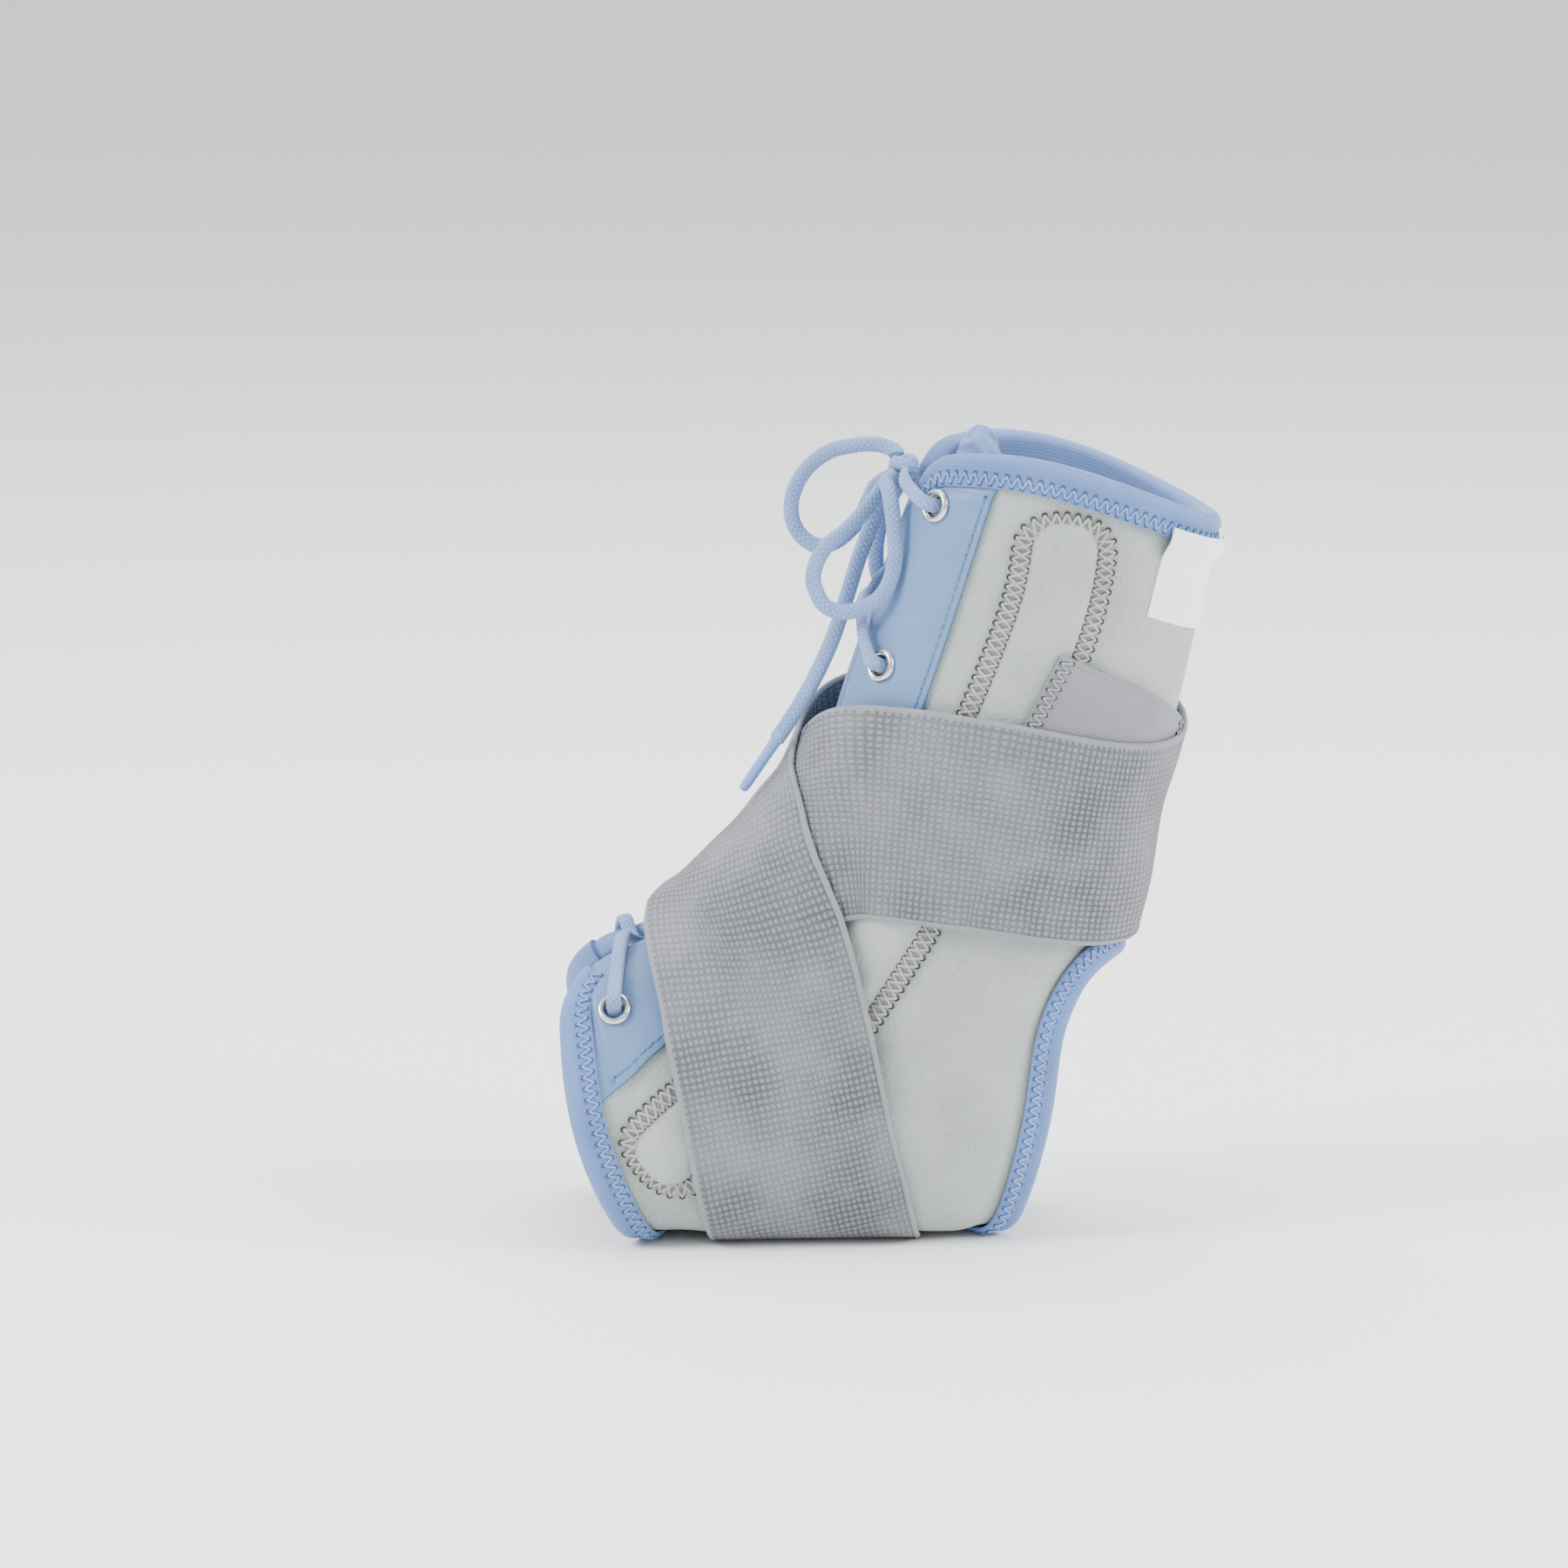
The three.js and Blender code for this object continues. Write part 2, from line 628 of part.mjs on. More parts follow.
function tongueBindingGeometry() {
  const edge = headed(tongueRow(tongueStart, 8), false, ({ turn }) =>
    skin(turn, tongueStart + 0.3));
  return edgingGeometry(edge, {
    low: tongueTop - tongueWall, high: tongueTop, reach: tongueEdging,
  });
}

// A row of the table between its rows, smooth, for a share of the whole path
function alongPath(path, names, share) {
  const t = share * (path.length - 1);
  const row = Math.min(Math.floor(t), path.length - 2);
  const part = t - row;
  const at = (i, name) => path[Math.min(Math.max(i, 0), path.length - 1)][name];
  return Object.fromEntries(names.map((name) => {
    const [a, b, c, d] = [row - 1, row, row + 1, row + 2].map((i) => at(i, name));
    const value = b + 0.5 * part *
      (c - a + part * (2 * a - 5 * b + 4 * c - d + part * (3 * (b - c) + d - a)));
    return [name, value];
  }));
}

// A strip laid along a middle line, with places across it
function strip(path, names, shares, half, across, heights) {
  return shares.map((share) => {
    const at = (s) => {
      const row = alongPath(path, names, s);
      return { ...row, turn: radians(row.turn) };
    };
    const here = at(share);
    const ahead = at(Math.min(1, share + 0.01));
    const behind = at(Math.max(0, share - 0.01));
    const along = skin(ahead.turn, ahead.station).sub(skin(behind.turn, behind.station));
    const { normal } = frameAt(here.turn, here.station);
    const sideways = new THREE.Vector3().crossVectors(normal, along).normalize();
    return across.map((part) => {
      const place = walk(here.turn, here.station, sideways, part * half(share));
      return { ...place, ...heights(place, here) };
    });
  });
}

function mirroredPath(path, side) {
  return path.map((row) => ({ ...row, turn: side * row.turn }));
}

// How high a strap lies over the sleeve
function strapSeat({ turn, station }) {
  const front = Math.abs(THREE.MathUtils.euclideanModulo(turn + Math.PI, 2 * Math.PI) - Math.PI);
  const side = mix(soleSeat, sideSeat, smooth(skin(turn, station).z, soleLift + 0.2, 9));
  return mix(frontSeat, side, smooth(front, radians(34), radians(62)));
}

// Shares along a strap, close together where it turns up from the sole
const strapShares = [...spread(0, 0.2, 14), ...spread(0.22, 1, 38)];

function strapGeometry(side, layer) {
  const across = [-1, -0.5, 0, 0.5, 1];
  const rows = strip(
    mirroredPath(strapPath, side), ["turn", "station", layer], strapShares,
    () => strapWidth / 2, across,
    (place, here) => {
      const low = strapSeat(place) + layerStep * THREE.MathUtils.clamp(here[layer], 0, 1);
      return { low, high: low + strapWall };
    },
  );
  return wall(patchesOf(rows, side > 0));
}

function pocketGeometry(side) {
  const ends = [0, 0.008, 0.03, 0.065];
  const shares = [...ends, ...spread(0.12, 0.88, 20), ...ends.map((s) => 1 - s).toReversed()];
  const length = 240;
  const half = (share) => {
    const fromEnd = Math.min(share, 1 - share) * length;
    const lift = Math.max(0, pocketWidth / 2 - fromEnd);
    return Math.max(1.5, Math.sqrt((pocketWidth / 2) ** 2 - lift ** 2));
  };
  const rows = strip(
    mirroredPath(pocketPath, side), ["turn", "station"], shares, half, [-1, -0.33, 0.33, 1],
    () => ({ low: clothEase, high: pocketTop }),
  );
  return wall(patchesOf(rows, side > 0));
}

// The label hangs from the top binding's lower part at the lateral rear
function labelGeometry() {
  const start = 4;
  const overBinding = edgingTop + seam;
  const rows = [0, 0.2, 0.42, 0.7, 1].map((part) =>
    spread(0, 1, 4).map((across) => {
      const top = walk(radians(176), 0, frameAt(Math.PI, 0).round.negate(), across * labelWidth);
      const down = frameAt(top.turn, top.station).down;
      const place = walk(top.turn, 0, down, start + part * labelHeight);
      const low = part < 0.3 ? overBinding : clothEase;
      return { ...place, low, high: low + labelWall };
    }),
  );
  return wall(patchesOf(rows, true));
}

// A route whose flat section keeps its width along the given directions
class Route extends THREE.Curve {
  constructor(points, widths) {
    super();
    this.points = points;
    this.widths = widths;
  }
  getPoint(t) {
    return this.points[Math.round(t * (this.points.length - 1))].clone();
  }
  getSpacedPoints() {
    return this.points.map((p) => p.clone());
  }
  computeFrenetFrames(steps) {
    const tangents = [];
    const normals = [];
    const binormals = [];
    for (let i = 0; i <= steps; i++) {
      const before = this.points[Math.max(0, i - 1)];
      const after = this.points[Math.min(steps, i + 1)];
      const tangent = after.clone().sub(before).normalize();
      const width = this.widths[i].clone();
      width.addScaledVector(tangent, -width.dot(tangent)).normalize();
      tangents.push(tangent);
      normals.push(width);
      binormals.push(new THREE.Vector3().crossVectors(tangent, width));
    }
    return { tangents, normals, binormals };
  }
}

const laceSides = 8;
function laceGeometry(points, widths) {
  const section = new THREE.Shape(Array.from({ length: laceSides }, (_, i) => {
    const angle = ((i + 0.5) * 2 * Math.PI) / laceSides;
    return new THREE.Vector2(
      (Math.cos(angle) * laceWidth) / 2, (Math.sin(angle) * laceWall) / 2,
    );
  }));
  const route = new Route(points, widths);
  return new THREE.ExtrudeGeometry(section, {
    extrudePath: route, steps: points.length - 1, bevelEnabled: false,
  });
}

// The lace through the eyelets: each crossing leaves one eyelet outside, passes over its own
// flap's edge and under the other flap, and comes up through the next eyelet
const crossing = [
  { share: 0, height: flangeTop - 0.5 },
  { share: "start", height: laceOver + laceBend },
  { share: "over", height: laceOver },
  { share: 0.5, height: 0 },
  { share: 0.73, height: laceUnder },
  { share: "end", height: laceUnder - laceDip },
  { share: 1, height: flangeSeat + 0.1 },
];

function laceStrand(side, from, to, overUnder) {
  const start = eyeletPlace(side, from);
  const end = eyeletPlace(-side, to);
  const bend = boreRadius / skin(start.turn, from).distanceTo(skin(end.turn, to));
  const onFlap = Math.abs(start.turn) - flapEdge(mix(from, to, 0.35));
  const over = Math.max(0.27, onFlap / Math.abs(start.turn - end.turn));
  return crossing.map(({ share, height }) => {
    const part = { start: bend, over, end: 1 - bend }[share] ?? share;
    const y = mix(start.turn, end.turn, part);
    const station = mix(from, to, part);
    const middle = (laceOver + laceUnder) / 2 + overUnder * (laceWall / 2 + 0.6);
    return [y, station, part === 0.5 ? middle : height];
  });
}

function threadedLace() {
  const last = eyeletPairs.length - 1;
  const half = (side, over) => {
    let at = side;
    const places = [];
    for (let i = last; i > 0; i--) {
      const sign = over * (i % 2 ? 1 : -1);
      places.push(...laceStrand(at, eyeletPairs[i], eyeletPairs[i - 1], sign));
      at = -at;
    }
    const top = eyeletPlace(at, eyeletPairs[0]);
    places.push([top.turn, top.station, flangeTop - 0.5]);
    places.push([top.turn * 0.9, top.station - 0.03, laceOver + laceBend]);
    places.push([top.turn * 0.6, top.station - 0.12, laceOver + 0.9]);
    places.push([top.turn * 0.4, top.station - 0.2, laceOver + 1.6]);
    return places;
  };
  const low = eyeletPairs[last];
  const bar = eyeletPlace(1, low);
  const barPlaces = [
    [bar.turn, low, flangeSeat + 0.1], [bar.turn * 0.88, low, laceUnder - laceDip],
    [bar.turn * 0.5, low, laceUnder], [0, low, laceUnder + 0.5], [-bar.turn * 0.5, low, laceUnder],
    [-bar.turn * 0.88, low, laceUnder - laceDip], [-bar.turn, low, flangeSeat + 0.1],
  ];
  const places = [...half(1, 1).toReversed(), ...barPlaces, ...half(-1, -1)];
  const points = places.map(([turn, station, height]) => raised(turn, station, height));
  const widths = places.map(([turn, station]) => frameAt(turn, station).down.normalize());
  return laceGeometry(
    [knotSeat(points[0]), ...points, knotSeat(points.at(-1))], [widths[0], ...widths, widths.at(-1)],
  );
}

// Where a straight line from a point to the knot's middle comes close to the knot
function knotSeat(from) {
  const away = from.clone().sub(knotMiddle);
  const half = new THREE.Vector3(knotDepth, knotWidth, knotHeight).divideScalar(2);
  const reach = 1 / away.clone().divide(half).length() + knotEase / away.length();
  return knotMiddle.clone().addScaledVector(away, reach);
}

// A free lace: evenly spaced points on a smooth line through its route, from the knot outwards.
// A loop comes back to the knot.
const laceStep = 9;
function freeLace(route, isLoop) {
  const curve = new THREE.CatmullRomCurve3(route.map(onBow));
  const steps = Math.max(4, Math.round(curve.getLength() / laceStep));
  const points = curve.getSpacedPoints(steps);
  points.unshift(knotSeat(points[0]));
  if (isLoop) points.push(knotSeat(points.at(-1)));
  return laceGeometry(points, points.map(() => new THREE.Vector3(0, 1, 0)));
}

function agletMesh(name, route, colour) {
  const [before, end] = route.slice(-2).map(onBow);
  const direction = end.clone().sub(before).normalize();
  const shape = new THREE.CylinderGeometry(agletRadius, agletRadius * 0.9, agletLength, 10);
  const mesh = makeMesh(name, shape, colour, 0.4);
  mesh.quaternion.setFromUnitVectors(new THREE.Vector3(0, -1, 0), direction);
  mesh.position.copy(end).addScaledVector(direction, agletLength / 2 + seam);
  return mesh;
}

const brace = new THREE.Group();
brace.add(makeMesh(
  "sleeve_body",
  Object.values(sides).reduce((g, side) => withEyeletHoles(g, side), sleeveGeometry()),
  colours.sleeve,
));
for (const [name, side] of Object.entries(sides)) {
  const panel = withEyeletHoles(panelGeometry(side), side);
  brace.add(makeMesh("eyelet_panel_" + name, panel, colours.panel, 0.5));
  brace.add(makeMesh("stay_pocket_" + name, pocketGeometry(side), colours.sleeve));
  eyeletPairs.forEach((station, i) => {
    const ring = makeMesh(
      "eyelet_" + name + "_" + (i + 1), eyeletGeometry(), colours.nickel, 0.25, 1,
    );
    brace.add(standOn(ring, eyeletPlace(side, station)));
  });
}
brace.add(makeMesh("tongue", tongueGeometry(), colours.tongue));
brace.add(makeMesh("tongue_binding", tongueBindingGeometry(), colours.blue));
brace.add(makeMesh("top_binding", topBindingGeometry(), colours.blue));
brace.add(makeMesh("toe_binding", toeBindingGeometry(), colours.blue));
brace.add(makeMesh("heel_binding", heelBindingGeometry(), colours.blue));
brace.add(makeMesh("strap_lateral", strapGeometry(1, "outer"), colours.strap));
brace.add(makeMesh("strap_medial", strapGeometry(-1, "inner"), colours.strap));
brace.add(makeMesh("side_label", labelGeometry(), colours.label, 0.6));
brace.add(makeMesh("lace_threaded", threadedLace(), colours.lace));

const knot = makeMesh("lace_knot", new THREE.SphereGeometry(0.5, 10, 8), colours.lace);
knot.scale.set(knotDepth, knotWidth, knotHeight);
knot.position.copy(knotMiddle);
brace.add(knot);
for (const [name, route] of Object.entries(laceRoutes)) {
  brace.add(makeMesh("lace_" + name, freeLace(route, name.startsWith("loop")), colours.lace));
}
brace.add(agletMesh("aglet_near", laceRoutes.tail_near, colours.lace));
brace.add(agletMesh("aglet_far", laceRoutes.tail_far, colours.lace));

// The origin is on the floor under the middle of the brace, measured without the bow's free ends
const freeEnds = /^(lace_loop|lace_tail|aglet)/;
const extent = new THREE.Box3();
for (const mesh of brace.children.filter(({ name }) => !freeEnds.test(name))) {
  extent.expandByObject(mesh, true);
}
const middle = extent.getCenter(new THREE.Vector3());
brace.position.set(-middle.x, -middle.y, -extent.min.z);

export default brace;
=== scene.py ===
"""Lace-up ankle brace: padded sleeve, tongue, bindings, side stays, straps and a tied lace."""

import math

import bpy
import numpy as np
from bpy.props import FloatProperty, FloatVectorProperty, IntProperty, PointerProperty
from bpy.types import Operator, Panel, PropertyGroup
from mathutils import Matrix, Vector


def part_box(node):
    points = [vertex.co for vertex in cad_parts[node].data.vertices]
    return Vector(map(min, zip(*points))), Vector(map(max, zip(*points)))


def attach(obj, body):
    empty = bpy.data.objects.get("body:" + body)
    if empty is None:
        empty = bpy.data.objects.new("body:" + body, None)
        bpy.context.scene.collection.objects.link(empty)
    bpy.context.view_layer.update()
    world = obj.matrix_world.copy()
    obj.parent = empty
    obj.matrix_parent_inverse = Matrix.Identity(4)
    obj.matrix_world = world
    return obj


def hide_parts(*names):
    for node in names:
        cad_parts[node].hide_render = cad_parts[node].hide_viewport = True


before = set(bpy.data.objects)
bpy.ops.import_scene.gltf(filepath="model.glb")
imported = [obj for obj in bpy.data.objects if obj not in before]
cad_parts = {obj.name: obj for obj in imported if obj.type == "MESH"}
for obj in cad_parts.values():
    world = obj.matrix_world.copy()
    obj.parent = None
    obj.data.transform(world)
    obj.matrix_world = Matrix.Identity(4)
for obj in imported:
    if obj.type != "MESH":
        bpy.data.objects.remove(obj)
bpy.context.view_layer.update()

bl_info = {
    "name": "Ankle brace",
    "version": (1, 0, 0),
    "blender": (4, 5, 0),
    "location": "3D View > Sidebar > Brace",
    "description": "Models a lace-up ankle brace with figure-of-eight straps, piece by piece",
    "category": "Mesh",
}

MM = 0.001

# Main sizes of the sleeve, in millimetres
BRACE_HEIGHT = 210
BRACE_LENGTH = 174
FOOT_WIDTH = 80
TOP_BOW = 8
TOE_BOW = 5.5
SOLE_ROUND = 6
SOLE_LIFT = 2.8
SLEEVE_WALL = 3
CORNER = 9  # radius of the flaps' corners
FLAP_GAP = 22
TOE_SPREAD = 9  # each flap draws back this much more at the toe edge
TOE_SPREAD_FROM = 10.2
TOE_PANEL_SHARE = 1.3
SIDE_SQUARENESS = 0.85
HEEL_TOP, HEEL_BOTTOM, HEEL_SPREAD = 5.1, 9.25, math.radians(46)
HEEL_MIDDLE = 6.6  # station of the heel opening's middle

# Sections from the top edge to the toe edge: percent of the length (x), height (z) and width
SECTIONS = np.array([
    (5.7, 99.3, 50.1, 91.9, 42.5), (-1.0, 84.9, 46.8, 78.0, 41),
    (-6.6, 71.2, 42.8, 63.3, 42.5), (-9.4, 63.6, 39.8, 55.3, 44.5),
    (-12.5, 57.7, 38.2, 46.2, 46.5), (-16.5, 53.5, 35.8, 37.7, 47.5),
    (-19.9, 49.9, 34.5, 25.8, 47), (-23.6, 46.9, 32.0, 13.3, 45.5),
    (-26.6, 44.4, 24.8, 2.4, 44.5), (-29.6, 42.1, 15.5, -2.9, 44.5),
    (-33.3, 40.2, 2.9, -2.9, 45.5), (-39.7, 38.1, -9.6, -2.9, 47),
    (-44.7, 36.9, -23.1, -2.9, 48.5), (-50.1, 34.0, -37.7, -2.9, 50),
])
FRONT_X, FRONT_Z, REAR_X, REAR_Z, HALF = range(5)
TOE = len(SECTIONS) - 1

# A strap's middle line: degrees round the section, station, layer of each strap
STRAP_PATH = np.array([
    (172, 11.1, 0, 0), (130, 10.75, 0, 0), (96, 10.2, 0.4, 0), (65, 9.3, 1, 0),
    (40, 8.05, 1, 0), (17, 6.9, 1, 0), (0, 6.0, 1, 0), (-20, 5.0, 1, 0), (-42, 4.1, 1, 0),
    (-60, 3.78, 1, 0), (-84, 3.6, 0, 1), (-100, 3.55, 0, 1), (-140, 3.5, 0, 1),
    (-180, 3.3, 0, 1), (-233, 2.7, 0, 1), (-268, 2.25, 0, 1),
])
STRAP_WIDTH = 55
STRAP_OUTER, STRAP_INNER = 2, 3  # columns with the layer of the lateral and the medial strap
STRAP_LAYER = 1.85  # one strap over the other
STRAP_TAB = 46  # length of the hook tab at a strap's end
# Height of a strap's underside over the sleeve: at the front over the lace, over the side trims,
# at the rear and under the sole
SEAT_FRONT, SEAT_SIDE, SEAT_REAR, SEAT_SOLE = 5.7, 2.5, 1.7, 1.35

# A stay pocket's middle line: degrees round the section, station
POCKET_PATH = np.array([
    (90, 0.35), (94, 1.0), (89, 2.1), (82, 3.7), (73, 5.45), (69, 7.4), (75, 9.85),
    (92, 11.55), (106, 12.4),
])
POCKET_WIDTH = 26
POCKET_SEAM_INSET = 1.7  # from the pocket's edge to the middle of its zigzag seam

PANEL_WIDTH = 27
PANEL_SEAM_INSET = 1.9
PANEL_STITCH = 2.7
LABEL_WIDTH = 30
LABEL_HEIGHT = 25
LABEL_START = math.radians(182)
EYELET_PAIRS = (0.4, 1.7, 3.7, 6.6, 10.2, 12.0)
EYELET_INSET = 12
BORE_RADIUS = 2.9
SLEEVE_HOLE, PANEL_HOLE = 3.9, 3.5  # radii of the holes round the eyelets' barrels
FLANGE_TOP = 2.85
FLANGE_UNDER = -4.8
LACE_OVER = 4.15
LACE_UNDER = -6.7
LACE_DIP = 0.9
LACE_BEND = 1.2
TONGUE_TOP = -9.1
TONGUE_WALL = 2.5
TONGUE_WIDTH = 46
TONGUE_RISE = 8
BINDING_REACH = 7
BINDING_SEAM = 4.7  # from the bound edge to the middle of the zigzag seam
BINDING_STITCH = 1.45  # half a zigzag

KNOT = np.array((3.918, 0, 206.53))
KNOT_HALF = np.array((4.5, 6, 5))
AGLET_LENGTH = 17

# Routes of the bow's free laces, x, y, z from the knot outwards
LACE_ROUTES = {
    "loop_near": [
        (-0.8, -7.6, 204), (0, -11, 201.4), (0.7, -15, 197), (1.2, -18, 191.4),
        (1.4, -20, 185.6), (0.2, -21, 179.8), (-2.6, -21, 174.8), (-7.8, -20, 171.7),
        (-12.7, -19, 170.6), (-17.2, -18, 172.1), (-19.5, -17, 175.7), (-20.4, -16, 179.6),
        (-19, -15, 184.4), (-16.2, -13, 188.1), (-12, -10.5, 191), (-7.8, -8.5, 195),
        (-4.3, -6.5, 199), (-1.6, -5, 202.4),
    ],
    "loop_far": [
        (1.6, 5.5, 210.8), (-2.6, 7.5, 212.2), (-8.7, 9, 211.9), (-16, 11, 209.8),
        (-22.1, 13, 204.8), (-25.6, 13, 198.3), (-26.1, 12, 192.3), (-24, 11, 187.5),
        (-20, 9.5, 184.7), (-16, 8.5, 184.9), (-12, 7.8, 187.3), (-7.8, 7, 192),
        (-5.4, 6, 197.2), (-3.2, 5, 201.6),
    ],
    "tail_near": [
        (-0.2, -2, 200.6), (-3.3, -2.4, 195.6), (-5.9, -3, 188.8), (-8.5, -4.5, 181.8),
        (-11.8, -6, 171.3), (-15.1, -7, 161.7), (-19, -7.5, 152.9), (-23.2, -7.5, 145),
        (-26.9, -7, 139), (-30.1, -6.5, 134.1),
    ],
    "tail_far": [
        (1.8, 4.2, 200.4), (0.4, 9.2, 197), (-1.4, 13.7, 192), (-3, 17.2, 184.4),
        (-3, 20.3, 177.2), (-1.6, 23.1, 171.5), (0.2, 25.4, 166.8),
    ],
}

SIDES = {"lateral": 1, "medial": -1}

low_corner, high_corner = (np.array(corner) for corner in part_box("lace_knot"))
SHIFT = (low_corner + high_corner) / 2 / MM - KNOT  # from the tables' origin to the part's


# Numbers and directions


def smooth(x, low, high):
    t = np.clip((x - low) / (high - low), 0, 1)
    return t * t * (3 - 2 * t)


def mix(a, b, t):
    return a + (b - a) * t


def dot(a, b):
    return (a * b).sum(-1)


def unit(a):
    return a / np.maximum(np.linalg.norm(a, axis=-1, keepdims=True), 1e-12)


def distances(points):
    """How far along a line each of its points lies."""
    return np.concatenate([[0], np.cumsum(np.linalg.norm(np.diff(points, axis=0), axis=-1))])


def tangents(points, closed):
    if closed:
        return unit(np.roll(points, -1, 0) - np.roll(points, 1, 0))
    return unit(np.gradient(points, axis=0))


def paired(a, b):
    """Two values for each point, such as its place on a flat map."""
    return np.stack(np.broadcast_arrays(a, b), -1)


def linear(code):
    """An sRGB hex colour as linear red, green and blue."""
    parts = [int(code[i:i + 2], 16) / 255 for i in (1, 3, 5)]
    return tuple(c / 12.92 if c <= 0.04045 else ((c + 0.055) / 1.055) ** 2.4 for c in parts)


# The sleeve's surface. turn is 0 at the front, pi at the rear, positive to the lateral side;
# station counts from the top edge, 0, to the toe edge.


def cubic(a, b, c, d, t):
    """Between b and c, smooth through the four values."""
    return b + 0.5 * t * (c - a + t * (2 * a - 5 * b + 4 * c - d + t * (3 * (b - c) + d - a)))


def column(index, station):
    """One column of the sections at any station, carried on straight past both ends."""
    rows = SECTIONS[:, index]
    rows = np.concatenate([[2 * rows[0] - rows[1]], rows, [2 * rows[-1] - rows[-2]]])
    station = np.asarray(station, float)
    i = np.clip(np.floor(station), 0, TOE - 1).astype(int)
    a, b, c, d = rows[i], rows[i + 1], rows[i + 2], rows[i + 3]
    t = station - i
    ahead = np.where(t > 1, c + (d - b) / 2 * (t - 1), cubic(a, b, c, d, t))
    return np.where(t < 0, b + (c - a) / 2 * t, ahead)


def half_width(station):
    return column(HALF, station) * FOOT_WIDTH / 100


def skin(turn, station):
    """A place on the sleeve's outer face."""
    turn, station = np.broadcast_arrays(np.asarray(turn, float), np.asarray(station, float))
    front_x, rear_x = (column(i, station) * BRACE_LENGTH / 100 for i in (FRONT_X, REAR_X))
    front_z, rear_z = (column(i, station) * BRACE_HEIGHT / 100 for i in (FRONT_Z, REAR_Z))
    share = (1 - np.cos(turn)) / 2
    length = np.hypot(rear_x - front_x, rear_z - front_z)
    rise = TOP_BOW * (1 - smooth(station, 0, 2.2)) * np.sin(np.pi * share ** 0.7)
    bow = rise - TOE_BOW * smooth(station, 11, TOE) * np.sin(np.pi * share)
    narrowing = 0.18 - 0.26 * smooth(station, 4, 8)
    side = np.sin(turn)
    y = half_width(station) * np.abs(side) ** SIDE_SQUARENESS * (1 - narrowing * share ** 2)
    z = mix(front_z, rear_z, share) + bow * (rear_x - front_x) / length
    eased = SOLE_LIFT + (z - SOLE_LIFT + SOLE_ROUND) ** 2 / (4 * SOLE_ROUND)
    z = np.where(z > SOLE_LIFT + SOLE_ROUND, z,
                 np.where(z < SOLE_LIFT - SOLE_ROUND, SOLE_LIFT, eased))
    x = mix(front_x, rear_x, share) - bow * (rear_z - front_z) / length
    return np.stack([x, -np.sign(side) * y, z], -1)


def frame_at(turn, station):
    """How the face runs round and down the sleeve, and its normal."""
    du, dv = 0.01, 0.02
    around = (skin(turn + du, station) - skin(turn - du, station)) / (2 * du)
    down = (skin(turn, station + dv) - skin(turn, station - dv)) / (2 * dv)
    return around, down, unit(np.cross(down, around))


def raised(turn, station, height):
    """A place over the outer face, or under it if the height is negative."""
    return skin(turn, station) + frame_at(turn, station)[2] * np.asarray(height, float)[..., None]


def walk(turn, station, heading, length):
    """Places a length in millimetres away over the surface, in the heading's direction."""
    turn, station, length = np.broadcast_arrays(
        np.asarray(turn, float), np.asarray(station, float), np.asarray(length, float))
    heading = np.broadcast_to(heading, turn.shape + (3,))
    steps = max(2, math.ceil(np.abs(length).max() / 5))
    for _ in range(steps):
        around, down, normal = frame_at(turn, station)
        heading = unit(heading - dot(heading, normal)[..., None] * normal)
        uu, vv, uv = dot(around, around), dot(down, down), dot(around, down)
        a, b = dot(around, heading), dot(down, heading)
        scale = length / steps / (uu * vv - uv * uv)
        turn = turn + (a * vv - b * uv) * scale
        station = station + (b * uu - a * uv) * scale
    return turn, station


def turn_at_width(y, station):
    """The turn at which the front is that far out to the side."""
    return np.arcsin(np.minimum(1, y / half_width(station)) ** (1 / SIDE_SQUARENESS))


def stations_for(length, station):
    """How many stations a length down the sleeve takes up."""
    return length / np.linalg.norm(frame_at(math.pi / 4, station)[1])


TOP_STEP = stations_for(1, 0)
TOE_STEP = stations_for(1, TOE - 0.1)


def toe_share(station):
    return np.clip((station - TOE_SPREAD_FROM) / (TOE - TOE_SPREAD_FROM), 0, 1)


def drawn_back(station):
    """How much further back each flap's edge lies towards the toes."""
    return TOE_SPREAD * toe_share(station) ** 1.5


def panel_growth(station):
    """How much wider a panel is near the toes, where its rear edge runs straight."""
    share = toe_share(station)
    return 26 * share - 18 * share ** 2


def from_end(station):
    """Millimetres from the nearer one of the top and toe edges."""
    return np.minimum(station / TOP_STEP, (TOE - station) / TOE_STEP)


def flap_edge(station):
    """The turn of a flap's front edge, with its rounded corners."""
    lift = np.maximum(0, CORNER - np.maximum(0, from_end(station)))
    inset = CORNER - np.sqrt(CORNER ** 2 - lift ** 2)
    return turn_at_width(FLAP_GAP / 2 + drawn_back(station) + inset, station)


def heel_edge(station):
    """The turn of the heel opening's edge."""
    share = np.clip((station - HEEL_TOP) / (HEEL_BOTTOM - HEEL_TOP), 0, 1)
    arch = np.clip(np.sin(np.pi * share ** 0.59), 0, 1)
    return math.pi - HEEL_SPREAD * arch ** 0.6


def eyelet_place(side, station):
    edge = side * flap_edge(station)
    inset = EYELET_INSET + TOE_PANEL_SHARE * drawn_back(station)
    turn, _ = walk(edge, station, frame_at(edge, station)[0] * side, inset)
    return turn, station


def sewn_line(turn, station, step, closed=False):
    """Evenly spaced places on a line over the surface, with headings square to it."""
    if closed:
        turn, station = np.append(turn, turn[0]), np.append(station, station[0])
    along = distances(skin(turn, station))
    count = max(4, round(along[-1] / step))
    at = np.linspace(0, along[-1], count + 1)
    if closed:
        at = at[:-1]
    turn, station = np.interp(at, along, turn), np.interp(at, along, station)
    tangent = tangents(skin(turn, station), closed)
    return turn, station, unit(np.cross(frame_at(turn, station)[2], tangent)), at


